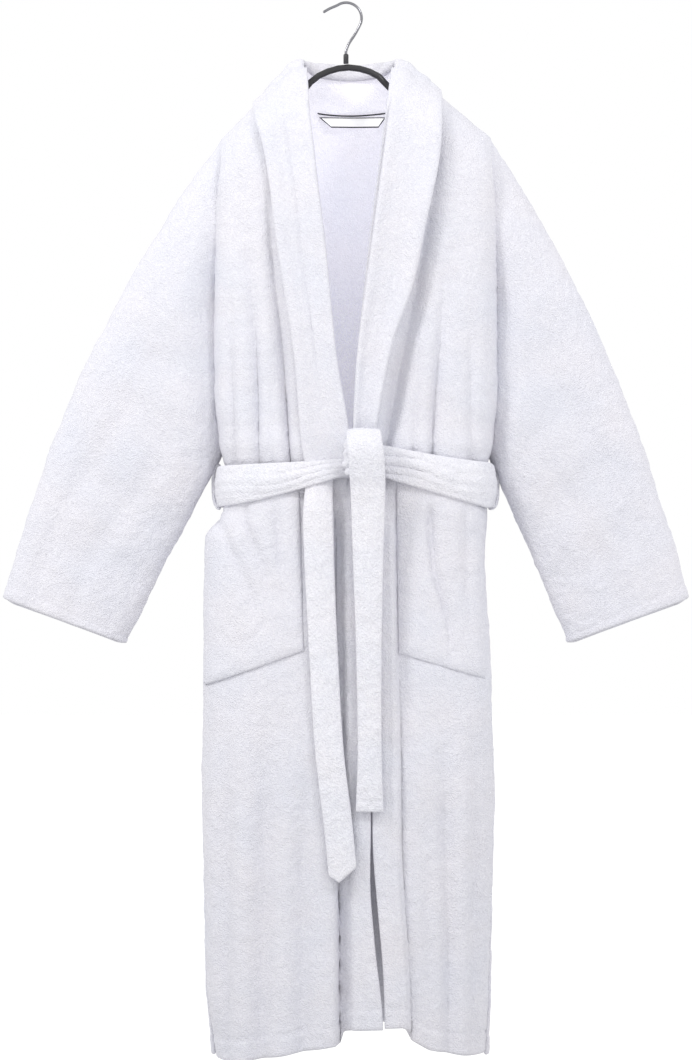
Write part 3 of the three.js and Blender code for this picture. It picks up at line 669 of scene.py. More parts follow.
BACK_FOLDS = [
    [
        (-120, -250, 12, 0), (-112, -400, 9, 5), (-104, -560, 5, 9),
        (-112, -660, 9, 7), (-128, -960, 16, 6), (-130, -1284, 20, 7),
    ],
    [
        (-62, -300, 12, 0), (-58, -430, 9, 5), (-54, -560, 5, 9),
        (-58, -680, 9, 7), (-64, -960, 17, 7), (-66, -1284, 20, 8),
    ],
    [
        (-8, -280, 14, 0), (-6, -430, 9, 4), (-4, -560, 5, 9),
        (-2, -680, 9, 7), (2, -960, 18, 7), (6, -1284, 22, 8),
    ],
    [
        (50, -300, 12, 0), (50, -430, 9, 5), (52, -560, 5, 9),
        (54, -680, 9, 7), (64, -960, 16, 7), (70, -1284, 20, 8),
    ],
    [
        (110, -260, 12, 0), (110, -430, 9, 5), (106, -560, 5, 9),
        (112, -680, 9, 7), (126, -960, 16, 6), (130, -1284, 20, 7),
    ],
    [(30, -330, 10, 0), (26, -480, 6, 2), (24, -566, 4, 5), (26, -640, 6, 0)],
    [(-34, -330, 10, 0), (-31, -480, 6, 2), (-30, -566, 4, 5), (-32, -640, 6, 0)],
]


def back_edge(z):
    """The back's side walls reach forward below the belt."""
    reach = profile(z, [(Z_FLARE, 0), (Z_HIP, edge_angle(0.40))])
    return reach - side_share(z) * (z > Z_UNDERARM - 30)


def hem_z(x):
    """The hem across the back, lowest in the middle."""
    reach = np.where(x < 45, 218.0, 128.0)
    share = np.clip(np.abs(x - 45) / reach, 0, 1)
    return Z_HEM + 46 * (1 - share ** 0.8)


def neck_y(x):
    return NECK_DEPTH * np.sqrt(np.maximum(0, 1 - ((x - NECK_SHIFT) / NECK_HALF) ** 2))


BACK_WIDE = 520.0
BACK_TALL = 1204.0
HEM = 25.0  # from the foot to the hem's stitching
back = Panel(Z_NECK + 6, Z_HEM - 4, back_edge, lambda z: -np.pi - back_edge(z))
across = graded(BACK_WIDE, STEP + 0.4)
down = graded(BACK_TALL, STEP + 0.4)
shares = across / BACK_WIDE
foot_x = back.at(shares, np.full(shares.shape, Z_HEM + 24))[..., 0]
low = Z_HEM + 0.45 * (hem_z(foot_x) - Z_HEM) + 8
p = from_shoulder(back, shares, down / BACK_TALL, low[:, None], lambda x: SEAM_Y + neck_y(x))
x, z = p[..., 0], p[..., 2]
behind = smooth(0, 25, p[..., 1])
waist = -2.2 * np.exp(-(((z - Z_BELT) / 30) ** 2))
offset = behind * valleys(x, z, BACK_FOLDS) + behind * waist
offset = offset + smooth(60, 150, shoulder_z(x) - z) * 1.5 * crumple(p, 80, 31)
offset = offset * smooth(0, 14, np.minimum(across, BACK_WIDE - across))[:, None]
p = p + normals(p, BACKWARD) * offset[..., None]
half = HALF * rims(across, BACK_WIDE, down, BACK_TALL)
from_foot = (BACK_TALL - down)[None, :]
seam = groove(from_foot, HEM, 1.6, 1.0) + 0.7 * smooth(HEM + 2, HEM - 1, from_foot)
piece = shell("back_cloth", p, half, BACKWARD, TERRY, relief=seam, inside=0.43)
cloth(piece, "robe", ["back_panel", "back_hem"])

# ---------------------------------------------------------------- sleeves

SLEEVE_LONG = 620.0
SLEEVE_IN = 7.0  # how far a sleeve's head reaches into the armhole
CUFF = 15.0
# Folds across the sleeve: place, slant and width in shares of its length, and depth.
SLANTED_FOLDS = [
    (0.24, 0.55, 0.055, 3.0), (0.40, 0.40, 0.05, 2.2), (0.62, 0.28, 0.06, 2.6), (0.80, 0.18, 0.05, 1.8),
]
# Folds along the sleeve: place and width in shares of its width, and depth.
LONG_FOLDS = [(0.30, 0.07, 2.2), (0.62, 0.06, 2.0)]
for name, side in (("left", -1), ("right", 1)):
    lo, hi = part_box(f"sleeve_{name}")
    arm_x = (hi.x if side < 0 else lo.x) / MM - side * SLEEVE_IN
    top_z = hi.z / MM
    elbow = (side * 335.2, lerp(top_z, -727, 0.42))
    outer = np.array([(arm_x, top_z + 4.5), elbow, (side * 417.0, -725.0)])
    inner = np.array([(arm_x, Z_UNDERARM + 2), (side * 270.0, -779.0)])
    along = graded(SLEEVE_LONG)
    around = np.linspace(0, 2 * np.pi, 210, endpoint=False)
    a, b = np.meshgrid(around, along / SLEEVE_LONG, indexing="ij")
    t = b[..., None]
    o = (1 - t) ** 2 * outer[0] + 2 * t * (1 - t) * outer[1] + t**2 * outer[2]
    i = lerp(inner[0], inner[1], t)
    across = i - o
    long = np.linalg.norm(across, axis=-1, keepdims=True)
    across = across / long
    c = power(np.cos(a), 2 / 2.6)
    d = power(np.sin(a), 2 / 2.6)
    flat = (o + i) / 2 + across * (long / 2 - HALF) * c[..., None]
    deep = (lerp(41.5, 24.0, smooth(0, 1, b)) - HALF) * lerp(0.88, 1, smooth(0, 0.12, b))
    behind = smooth(-0.6, 0.0, c) * (1 - smooth(0.0, 0.24, b))
    deep = deep * (1 - 0.5 * behind)
    p = np.stack([flat[..., 0], deep * d, flat[..., 1]], -1)
    reach = c * 0.5 + 0.5
    wave = 0
    for at, slant, wide, dip in SLANTED_FOLDS:
        line = b - at - slant * (0.5 - reach) * (1 if side < 0 else 0.8)
        wave = wave - dip * np.exp(-((line / wide) ** 2)) * smooth(0.0, 0.5, reach)
    for at, wide, dip in LONG_FOLDS:
        line = reach - at - 0.08 * np.sin(5 * b)
        wave = wave - dip * np.exp(-((line / wide) ** 2)) * smooth(0.2, 0.6, b)
    face = smooth(0.3, 0.8, np.abs(d))
    offset = smooth(0.02, 0.2, b) * (face * wave + 1.6 * crumple(p, 75, 41 + side))
    p = p + normals(p, from_axis(p), wrap=True) * offset[..., None]
    p[..., 2] -= 4.0 * smooth(0.9, 1.0, b) * smooth(0, 0.6, np.sin(a))
    half = HALF * rim(along, SLEEVE_LONG, 3)[None, :] * np.ones((len(around), 1))
    from_cuff = (SLEEVE_LONG - along)[None, :]
    hem = groove(from_cuff, CUFF, 1.6, 1.2) + 0.9 * smooth(CUFF + 1, CUFF - 2, from_cuff)
    piece = shell(f"sleeve_{name}_cloth", p, half, from_axis(p), TERRY, wrap=True, relief=hem)
    hinge = ("robe", f"sleeve_{name}", (arm_x * MM, 0, -0.3), ((arm_x + side * 60) * MM, 0, -0.3))
    nodes = [f"sleeve_{name}", f"cuff_{name}"]
    cloth(piece, hinge, nodes)

# ---------------------------------------------------------------- shawl collar, one strip from foot to foot


def chest_y(x, z):
    """The middle of the front's cloth, which turns back towards the shoulder seam."""
    return lerp(-SEAM_Y, front_y(x, z), turned(np.maximum(0, shoulder_z(x) - z)))


# Each row: the inner rolled edge, two points between, the outer edge, and the share that follows the chest.
COLLAR_ROWS = [
    ((5, 0, -580), (-11, 0, -581), (-28, 0, -582), (-44, 0, -583), 1),
    ((4, 0, -523), (-15, 0, -526), (-35, 0, -530), (-54, 0, -534), 1),
    ((-11, 0, -431), (-28, 0, -430), (-46, 0, -429), (-63, 0, -428), 1),
    ((-23, 0, -309), (-43, 0, -306), (-63, 0, -303), (-83, 0, -300), 1),
    ((-32, 0, -235), (-52, 0, -234), (-72, 0, -233), (-91, 0, -234), 1),
    ((-40, 0, -166), (-60, 0, -164), (-81, 0, -168), (-101, 0, -176), 1),
    ((-47, -28, -112), (-67, -30, -120), (-88, -28, -134), (-109, -22, -149), 0.75),
    ((-51, 0, -71), (-71, 0, -79), (-93, 0, -101), (-113, 0, -123), 0),
    ((-44, 16.5, -80), (-53, 24, -70.5), (-78, 37, -97), (-98, 43, -127), 0),
    ((-30, 30.5, -86), (-36, 38, -69.5), (-52, 54, -98), (-66, 59, -127), 0),
    ((4, 41, -88), (4, 49.5, -69.3), (4, 58.5, -96), (4, 60, -125), 0),
    ((38, 30.5, -86), (44, 38, -69.5), (60, 54, -98), (74, 58, -125), 0),
    ((52, 16.5, -80), (61, 24, -70.5), (84, 37, -94), (101, 42, -119), 0),
    ((59, 0, -71), (79, 0, -79), (98, 0, -94), (114, 0, -108), 0),
    ((55, -28, -108), (74, -30, -114), (94, -29, -124), (116, -22, -135), 0.75),
    ((46, 0, -180), (68, 0, -180), (90, 0, -186), (112, 0, -198), 1),
    ((36, 0, -255), (57, 0, -258), (77, 0, -263), (97, 0, -270), 1),
    ((26, 0, -328), (44, 0, -332), (61, 0, -340), (80, 0, -350), 1),
    ((13, 0, -430), (27, 0, -428), (41, 0, -426), (55, 0, -422), 1),
    ((8, 0, -523), (17, 0, -523), (26, 0, -523), (36, 0, -523), 1),
    ((9, 0, -580), (16, 0, -580), (23, 0, -580), (31, 0, -580), 1),
]
ROWS_ALONG = 330
COLLAR_WIDE = 58.0
COLLAR_STITCH = 15.0
LINE_POINTS = 60
# The share that follows the chest rides along each line as a fourth value, in the scale of the others.
lines = [spline([row[k] + (row[4] * 100,) for row in COLLAR_ROWS], ROWS_ALONG) for k in range(4)]
lines = np.stack(lines, 1)
across = graded(COLLAR_WIDE, 2.6, 4.0)
share = across / COLLAR_WIDE
p = np.zeros((ROWS_ALONG, len(share), 3))
follow = np.clip(lines[:, :, 3].mean(axis=1) / 100, 0, 1)
for i in range(ROWS_ALONG):
    line = spline(lines[i, :, :3], LINE_POINTS)
    for k in range(3):
        p[i, :, k] = np.interp(share * (LINE_POINTS - 1), np.arange(LINE_POINTS), line[:, k])
along = np.linspace(0, 1, ROWS_ALONG)[:, None]
share = share[None, :]
right = smooth(0.55, 0.62, along)
lift = 7.2 + 2.4 * smooth(0.55, 1.0, share) * (1 + 1.6 * right)
lift = lift + 4.5 * np.exp(-((share * COLLAR_WIDE / 11) ** 2))
on_chest = chest_y(p[..., 0], p[..., 2]) - lift
p[..., 1] = lerp(p[..., 1], on_chest, smooth(0.15, 1, follow)[:, None])
crease = -2.3 * np.exp(-(((share - 0.46 - 0.05 * np.sin(9 * along)) / 0.06) ** 2))
crease = crease * smooth(0.03, 0.12, along) * (1 - smooth(0.30, 0.36, along))
from_seam = np.where(p[..., 1:2] < 0, -1, 1) * np.array([0, 1.0, 0])
out = normals(p, from_seam)
flip = np.where((out[..., 1] > 0) & (p[..., 1] < -20), -1, 1)[..., None]
p = p + out * flip * (crease + 1.1 * crumple(p, 55, 51) * smooth(0, 0.3, share))[..., None]
half = COLLAR_HALF + 1.2 * np.exp(-((share * COLLAR_WIDE / 9) ** 2))
half = half * rim(across, COLLAR_WIDE, 4.4)[None, :] * np.ones((ROWS_ALONG, 1))
half = half * rim(np.arange(ROWS_ALONG) * 4.0, (ROWS_ALONG - 1) * 4, 5)[:, None]
from_edge = (COLLAR_WIDE - across)[None, :]
stitch = groove(from_edge, COLLAR_STITCH, 1.5, 1.1)
stitch = stitch + 0.5 * smooth(COLLAR_STITCH, COLLAR_STITCH - 2, from_edge)
outward = np.where(p[..., 1] < -20, -1.0, 1.0)[..., None] * np.array([0, 1.0, 0]) + np.array([0, 0, 0.4])
piece = shell("shawl_collar_cloth", p, half, outward, TERRY, relief=stitch)
cloth(piece, "robe", ["lapel_left", "lapel_right", "collar_back"])

# ---------------------------------------------------------------- skirt fronts, with their bands and pockets

SKIRT_TOP = -574.0
# The hem's outline at the front: (across, height)
HEMS = {
    -1: [
        (-181, -1276), (-166, -1278), (-152, -1281), (-90, -1270), (-20, -1256),
        (-13, -1254), (-9, -1240), (4, -1237), (46, -1236),
    ],
    1: [
        (28, -1235), (66, -1234), (72, -1237), (77, -1250),
        (100, -1263), (140, -1270), (160, -1273), (181, -1272),
    ],
}


def front_edge(z):
    """Where the two fronts meet."""
    return profile(z, [(Z_BELT_LOW, 28), (-1005, 30.5), (-1240, 45)])


def belt_low(x):
    """The belt's lower edge across the front, which climbs to the knot."""
    left = lerp(-615, -577, np.clip((x + 157) / 150, 0, 1) ** 1.4)
    right = lerp(-615, -579, np.clip((163 - x) / 118, 0, 1))
    return lerp(left, right, smooth(-2, 40, x))


def skirt_relief(side, x, z):
    """The skirt's folds, and the recess that sets its front edge off."""
    below = smooth(-606, -650, z)
    if side < 0:
        fold = profile(z, [(-640, -17), (Z_HEM, -12)])
        strip = profile(z, [(-640, -3), (-900, 0), (-1010, 6), (Z_HEM, 8)])
        out = 5.0 * smooth(fold - 60, fold - 8, x) * below * smooth(fold + 2, fold - 2, x)
        deep = lerp(6.5, 15.0, smooth(-960, -1040, z)) * (1 - 0.7 * smooth(fold + 3, strip + 4, x))
        out = out - deep * below * smooth(fold - 2, fold + 3, x) * smooth(strip + 4, strip - 2, x)
        out = out + 4.0 * below * smooth(strip - 1, strip + 3, x)
        lines = [
            [(-92, -850, 18, 0), (-96, -980, 16, 4), (-100, -1150, 16, 5), (-104, -1284, 18, 6)],
            [(-140, -860, 14, 0), (-143, -1000, 12, 3), (-146, -1284, 14, 4)],
            [(-48, -900, 14, 0), (-50, -1050, 13, 3.2), (-52, -1284, 15, 4.4)],
        ]
    else:
        band = profile(z, [(-620, 55), (-1000, 62), (-1240, 73)])
        out = 4.0 * below * smooth(band + 2, band - 2, x)
        out = out - 6.0 * below * smooth(band - 1, band + 3, x) * smooth(band + 26, band + 4, x)
        lines = [
            [(118, -840, 16, 0), (120, -980, 13, 4), (124, -1150, 13, 5), (126, -1284, 16, 6)],
            [(152, -860, 12, 0), (156, -1000, 10, 3), (158, -1284, 12, 4)],
            [(94, -940, 12, 0), (97, -1080, 11, 2.6), (100, -1284, 13, 3.6)],
        ]
    return out + 2.8 * valleys(x, z, lines)


def skirt_angles(side, z):
    """The outline's angles at the front edge and at the side seam."""
    mouth = smooth(-995, -1090, z) * smooth(-1235, -1140, z)
    near = front_edge(z) + (-0.9 - 3.6 * mouth if side < 0 else 0.9 + 1.6 * mouth)
    seam = edge_angle(0.42) * smooth(-612, Z_HIP + 3, z)
    return angle_at(near, z), np.pi - seam if side < 0 else seam


POCKET_TALL = 190.0
# Each pocket: across at its top's two corners, its two lower corners, and its wrinkles.
POCKETS = {
    -1: (-170, -56, (-172, -830), (-50, -786), [
        [(-150, -632, 6, 3), (-120, -700, 7, 2.6), (-92, -780, 7, 0)],
        [(-118, -632, 5, 3.5), (-98, -690, 6, 2.2), (-84, -740, 6, 0)],
        [(-82, -632, 6, 3.4), (-76, -690, 6, 1.5), (-72, -730, 6, 0)],
    ]),
    1: (163, 60, (164, -820), (63, -789), [
        [(100, -632, 5, 6), (104, -688, 5, 5), (121, -756, 4, 3), (124, -790, 4, 1)],
        [(140, -632, 6, 3), (142, -700, 6, 2), (146, -780, 6, 0)],
    ]),
}
SKIRT_TALL = 706.0
SKIRT_WIDE = {-1: 205.0, 1: 138.0}
BAND = 17.0  # from the front edge to the band's stitching
HEM_ROW = -30  # the row of the table that a column's foot is taken from
for name, side in (("left", -1), ("right", 1)):
    levels = np.linspace(SKIRT_TOP + 4, Z_HEM - 4, 170)
    near, far = skirt_angles(side, levels)
    fine = np.linspace(0, 1, 400)
    table = resample(arc(levels, far, near, 1000), fine)
    width = SKIRT_WIDE[side]
    across = graded(width, 2.5)
    down = graded(SKIRT_TALL, 3.4)
    share = across / width
    # each column's foot follows the hem's outline
    hem_line = np.array(HEMS[side], float)
    foot_x = np.interp(share, fine, table[HEM_ROW, :, 0])
    low = np.interp(foot_x, hem_line[:, 0], hem_line[:, 1])
    z = lerp(SKIRT_TOP, low[:, None], (down / SKIRT_TALL)[None, :])
    xy = look_up(table, row_at(levels, z), share[:, None] * (len(fine) - 1) * np.ones_like(z))
    p = np.concatenate([xy, z[..., None]], -1)
    tuck = -2.0 * smooth(-612, -600, z) - 2.5 * smooth(-596, -580, z)
    calm = smooth(0, 16, across)[:, None] * smooth(-610, -660, z)
    offset = skirt_relief(side, p[..., 0], z) + tuck + calm * 1.4 * crumple(p, 85, 61 + side)
    p = p + normals(p, FORWARD) * offset[..., None]
    half = HALF * rims(across, width, down, SKIRT_TALL)
    from_foot = (SKIRT_TALL - down)[None, :]
    relief = groove(from_foot, HEM, 1.6, 1.1) + 0.8 * smooth(HEM + 2, HEM - 1, from_foot)
    relief = relief + groove(width - across, BAND, 1.5, 0.6 if side < 0 else 0.8)[:, None]
    piece = shell(f"skirt_{name}_cloth", p, half, FORWARD, TERRY, relief=relief)
    hinge = ("robe", f"front_{name}", (side * 0.17, 0, 0), (0.028, 0, 0))
    nodes = [f"skirt_front_{name}", f"skirt_hem_{name}", f"front_band_{name}"]
    cloth(piece, hinge, nodes)

    # the patch pocket, on the skirt's surface, with its top behind the belt
    top_a, top_b, low_a, low_b, wrinkles = POCKETS[side]
    wide = float(abs(low_a[0] - low_b[0]))
    pa = graded(wide, 2.8)
    pd = graded(POCKET_TALL, 2.8)
    s, t = np.meshgrid(pa / wide, pd / POCKET_TALL, indexing="ij")
    x = lerp(lerp(top_a, top_b, s), lerp(low_a[0], low_b[0], s), t)
    z = lerp(belt_low(x) + 5, lerp(low_a[1], low_b[1], s), t)
    limit = half_width(z) * 0.975
    x = np.clip(x, shift(z) - limit, shift(z) + limit)
    p = np.stack([x, front_y(x, z), z], -1)
    edge_in = np.minimum(np.minimum(s, 1 - s) * wide, (1 - t) * POCKET_TALL)
    puff = 2.4 * smooth(2, 30, edge_in) * smooth(0.9, 0.2, t) - 1.6 * smooth(7, 0, edge_in)
    puff = puff - 3.0 * smooth(0.14, 0.0, t)
    offset = skirt_relief(side, x, z) * 0.9 + HALF + 2.4 + puff
    offset = offset + 1.7 * valleys(x, z, wrinkles) * smooth(0, 10, edge_in) + 0.9 * crumple(p, 50, 71 + side)
    p = p + normals(p, FORWARD) * offset[..., None]
    half = 2.1 * rims(pa, wide, pd, POCKET_TALL, 4)
    relief = groove((1 - t) * POCKET_TALL, 6, 1.3, 0.7) + groove(s * wide, 6, 1.3, 0.6)
    relief = relief + groove((1 - s) * wide, 6, 1.3, 0.6)
    piece = shell(f"pocket_{name}_cloth", p, half, FORWARD, TERRY, relief=relief)
    flat = (wide * MM + 0.004, 0.24)
    cloth(piece, hinge, [f"pocket_{name}"])

# ---------------------------------------------------------------- belt: the ring round the waist

BELT_WIDE = 50.0


def belt_top(x):
    """The belt's upper edge across the front, which climbs to the knot."""
    left = lerp(-565, -558, np.clip((x + 157) / 150, 0, 1))
    right = lerp(-560, -541, np.clip((163 - x) / 118, 0, 1) ** 1.2)
    return lerp(left, right, smooth(-2, 40, x))


angles = np.linspace(0, 2 * np.pi, 3000, endpoint=False)
c, s = np.cos(angles), np.sin(angles)
ring_x = shift(Z_BELT) + half_width(Z_BELT) * power(c, 0.5)
ring = np.stack([ring_x, -depth(Z_BELT) * power(s, 0.5)], -1)
closed_ring = np.vstack([ring, ring[:1]])
run = np.concatenate([[0], np.cumsum(np.linalg.norm(np.diff(closed_ring, axis=0), axis=1))])
RING_LENGTH = run[-1]
count = int(RING_LENGTH / 2.6)
at = np.linspace(0, RING_LENGTH, count, endpoint=False)
rx, ry = (np.interp(at, run, closed_ring[:, k]) for k in (0, 1))
w_front = smooth(-10, -45, ry)
top, low = lerp(-565.5, belt_top(rx), w_front), lerp(-614.0, belt_low(rx), w_front)
across = graded(BELT_WIDE, 2.0, BELT_HALF)
s = across / BELT_WIDE
z = lerp(top[:, None], low[:, None], s[None, :])
p = np.stack([rx[:, None] * np.ones_like(z), ry[:, None] * np.ones_like(z), z], -1)
# near is 1 at the knot, which pinches the belt, and 0 away from it
near = np.exp(-((np.maximum(0, np.abs(rx - 20) - 20) / 46) ** 2)) * w_front
bulge = 3.2 * smooth(-70, -48, rx) * smooth(2, -16, rx) * w_front
offset = HALF + 0.6 + BELT_HALF + 1.0 + 3.0 * near[:, None] + bulge[:, None] * smooth(0.2, 0.8, s)[None, :]
wander = 0.07 * np.sin(rx / 17)[:, None]
for where, deep in ((0.30, 1.0), (0.58, 1.3), (0.8, 0.8)):
    fold = np.exp(-(((s[None, :] - where - wander) / 0.085) ** 2))
    offset = offset - deep * (0.7 + 3.4 * near[:, None]) * fold
offset = offset + 1.0 * crumple(p, 34, 81) + 4.0 * np.sin(np.pi * s)[None, :]
outward = (p - np.array([12.0, 0, 0])) * np.array([1.0, 1.0, 0])
p = p + normals(p, outward, wrap=True) * offset[..., None]
half = BELT_HALF * rim(across, BELT_WIDE, BELT_HALF)[None, :] * (1 + 0.3 * near[:, None])
relief = (groove(across, 6, 1.2, 0.5) + groove(BELT_WIDE - across, 6, 1.2, 0.5))[None, :]
piece = shell("belt_ring_cloth", p, half, from_axis(p), BELT_TERRY, wrap=True, relief=relief)
cloth(piece, "robe", ["belt_waist"])

# ---------------------------------------------------------------- straps: belt loops, tails

STRAP_POINTS = 400


def strap(name, rows, half, step=2.2, face=FORWARD, side_dir=(1, 0, 0), bow=0.0, foot=None, plain=False):
    """A strap along middle points, each with the width there: (x, y, z, width)."""
    rows = np.array(rows, float)
    dense = spline(rows, STRAP_POINTS)
    length = np.linalg.norm(np.diff(dense[:, :3], axis=0), axis=1).sum()
    along = graded(length, step, half)
    where = along / length * (STRAP_POINTS - 1)
    line = np.stack([np.interp(where, np.arange(STRAP_POINTS), dense[:, k]) for k in range(4)], 1)
    tangent = np.gradient(line[:, :3], axis=0)
    tangent /= np.linalg.norm(tangent, axis=1, keepdims=True)
    side_dir = np.array(side_dir, float)
    side_dir = side_dir - tangent * (tangent @ side_dir)[:, None]
    side_dir /= np.linalg.norm(side_dir, axis=1, keepdims=True)
    out_dir = np.cross(side_dir, tangent)
    if (out_dir @ np.array(face, float)).sum() < 0:
        out_dir = -out_dir
    wide = float(rows[:, 3].max())
    across = graded(wide, step, half)
    s = across / wide - 0.5
    p = line[None, :, :3] + side_dir[None] * (s[:, None] * line[None, :, 3])[..., None]
    p = p + out_dir[None] * (bow * (1 - (2 * s) ** 2))[:, None, None]
    if foot is not None:
        p[..., 2] += foot(s)[:, None] * smooth(length - 60, length, along)[None, :]
    p = p + out_dir[None] * (0.9 * crumple(p, 40, 91) * smooth(0, 30, along)[None, :])[..., None]
    relief = 0.0
    if not plain:
        relief = (groove(across, 5.5, 1.2, 0.6) + groove(wide - across, 5.5, 1.2, 0.6))[:, None]
        relief = relief + groove(length - along, 14, 1.3, 0.9)[None, :]
    half = half * rims(across, wide, along, length, half)
    return shell(name, p, half, out_dir[None], BELT_TERRY, relief=relief, lumps=0.6 if plain else 1.0)


for name, x_wall, x_out in (("left", -153.0, -161.5), ("right", 174.0, 184.5)):
    out = np.sign(x_out)
    bend_x = x_out - out * 4
    points = [(x_wall, -563), (bend_x, -564), (x_out, -574), (x_out, -604), (bend_x, -614), (x_wall, -616)]
    rows = [(x, 0, z, 13) for x, z in points]
    name_cloth = f"belt_loop_{name}_cloth"
    piece = strap(name_cloth, rows, 2.2, step=1.3, face=(out, 0, 0), side_dir=(0, 1, 0), plain=True)
    cloth(piece, "robe", [f"belt_loop_{name}"])


def pointed(s):
    """The long tail's foot, which comes to a point a little left of its middle."""
    return -13 * (1 - np.abs(2 * s + 0.25)) + 2


# the long tail, from behind the belt
rows = [
    (-31, -76.5, -572, 32), (-32, -78.5, -590, 33), (-33, -85, -612, 35), (-33, -87, -635, 36),
    (-31, -89, -700, 35), (-26, -95, -800, 34), (-20, -101, -900, 34), (-10, -105, -985, 34),
    (-4, -106.5, -1048, 33),
]
piece = strap("tail_long_cloth", rows, 3.2, bow=1.8, foot=pointed)
hinge = ("robe", "tail_long", (0, 0, -0.603), (0, 0, -0.622))
cloth(piece, hinge, ["belt_tail_long"])

# the main tail comes up behind the knot, over its top and down its face
rows = [
    (20, -93, -548, 34), (20, -96, -534, 37), (20.5, -103, -526.5, 39), (21, -112, -528, 41),
    (22, -117.5, -540, 42), (24, -118, -556, 42), (25, -113.5, -574, 42), (26, -107.5, -596, 41),
    (26, -104.5, -640, 38), (27, -104, -780, 30), (28, -104, -900, 28), (28, -104, -976, 33),
]
piece = strap("tail_main_cloth", rows, 3.4, bow=2.6)
hinge = ("robe", "tail_main", (0, 0, -0.577), (0, 0, -0.600))
cloth(piece, hinge, ["belt_tail_main"])

# the knot's body: a tight, flattened ball of belt with its turns pressed into it
KNOT = np.array([20.5, -100.5, -556.0])
KNOT_SIZE = np.array([25.5, 15.0, 28.5])
KNOT_TURNS = [(-0.62, 0.10, 0.10), (-0.2, 0.10, 0.13), (0.28, 0.11, 0.13), (0.68, 0.10, 0.10)]
ROUND_COUNT, ROW_COUNT = 96, 64
theta = np.linspace(0, 2 * np.pi, ROUND_COUNT, endpoint=False)
phi = np.linspace(-np.pi / 2, np.pi / 2, ROW_COUNT)
a, b = np.meshgrid(theta, phi, indexing="ij")
e = 0.72
level = power(np.cos(b), e)
p = np.stack([level * power(np.cos(a), e), level * power(np.sin(a), e), power(np.sin(b), e)], -1)
lean = 0.34 * p[..., 0]
turns = 0
for where, wide, deep in KNOT_TURNS:
    turns = turns - deep * np.exp(-(((p[..., 2] - where - lean) / wide) ** 2))
p = p * (1 + turns * smooth(0, 0.5, np.cos(b)))[..., None]
points = KNOT + p * KNOT_SIZE
n = p / np.linalg.norm(p, axis=2, keepdims=True)
points = (points + n * pile(points)[..., None]) * MM
index = np.arange(ROUND_COUNT * ROW_COUNT).reshape(ROUND_COUNT, ROW_COUNT)
# all the points of a pole become one
index[:, 0] = index[0, 0]
index[:, -1] = index[0, -1]
nxt = np.roll(index, -1, 0)
faces = np.stack([index[:, :-1], nxt[:, :-1], nxt[:, 1:], index[:, 1:]], -1).reshape(-1, 4)
used, renumbered = np.unique(faces, return_inverse=True)
faces = [list(dict.fromkeys(face)) for face in renumbered.reshape(faces.shape).tolist()]
knot = mesh_object("belt_knot_cloth", points.reshape(-1, 3)[used], faces, BELT_TERRY)
place(knot, "robe", ["belt_knot"])

# ---------------------------------------------------------------- neck label

LABEL_CLOTH = plain_material(
    "label_white", (0.86, 0.86, 0.85), 0.7, grain=1500.0, bump_height=0.0002, variation=0.03
)
LABEL_SHADER = LABEL_CLOTH.node_tree.nodes["Principled BSDF"]
# painted light: the label glows a little in white, as if lit inside the neck where it lies in shade
LABEL_SHADER.inputs["Emission Color"].default_value = (1, 1, 1, 1)
LABEL_SHADER.inputs["Emission Strength"].default_value = 0.27
LABEL_WIDE = 82.0
LABEL_TALL = 13.6
LABEL_X = 8
LABEL_Z = -132
LABEL_EDGE = 1.5
across = graded(LABEL_WIDE, 1.2, 0.6)
down = graded(LABEL_TALL, 1.0, 0.6)
s, t = np.meshgrid(across / LABEL_WIDE - 0.5, down / LABEL_TALL, indexing="ij")
x = LABEL_X + s * lerp(83, 58, t) + 3 * t
p = np.stack([x, lerp(46.3, 40.6, t) + 1.2 * np.cos(6 * s), LABEL_Z - LABEL_TALL * t], -1)
half = 0.5 * rims(across, LABEL_WIDE, down, LABEL_TALL, 0.6)
label = shell("label_cloth_piece", p, half, FORWARD, LABEL_CLOTH, lumps=0.0)
label.data.materials.append(THREAD)
for polygon in label.data.polygons:
    x, _, z = polygon.center / MM
    t = (LABEL_Z - z) / LABEL_TALL
    edge = abs(x - LABEL_X - 3 * t) > lerp(83, 58, t) / 2 - LABEL_EDGE
    polygon.material_index = 1 if edge or t < 0.09 or t > 0.91 else 0
flat = (0.083, 0.0137)
cloth(label, "robe", ["neck_label"])

# ---------------------------------------------------------------- hanger: wire hook, ferrule and bar


def tube(name, path, radius, material, sides=24, count=240):
    """A round wire along a path in the plane of the hanger, with rounded ends."""
    line = spline(path, count)
    tangent = np.gradient(line, axis=0)
    tangent /= np.linalg.norm(tangent, axis=1, keepdims=True)
    y = np.array([0.0, 1.0, 0.0])
    across = np.cross(tangent, y)
    across /= np.linalg.norm(across, axis=1, keepdims=True)
    a = np.linspace(0, 2 * np.pi, sides, endpoint=False)[None, :, None]
    distance = np.concatenate([[0], np.cumsum(np.linalg.norm(np.diff(line, axis=0), axis=1))])
    r = radius * np.maximum(rim(distance, distance[-1], radius * 0.9), 0.05)
    ring_points = line[:, None] + (np.cos(a) * across[:, None] + np.sin(a) * y) * r[:, None, None]
    index = np.arange(count * sides).reshape(count, sides)
    nxt = np.roll(index, -1, 1)
    faces = np.stack([index[:-1], nxt[:-1], nxt[1:], index[1:]], -1).reshape(-1, 4).tolist()
    faces += [index[0][::-1].tolist(), index[-1].tolist()]
    return mesh_object(name, ring_points.reshape(-1, 3) * MM, faces, material)


WIRE_R = 1.7
HOOK_R = 19.0
BEND_Z = WIRE_R - HOOK_R


def bend(degrees, radius=HOOK_R):
    """A point of the wire's bend, round the rail."""
    a = math.radians(degrees)
    return (radius * math.cos(a), 0.0, BEND_Z + radius * math.sin(a))


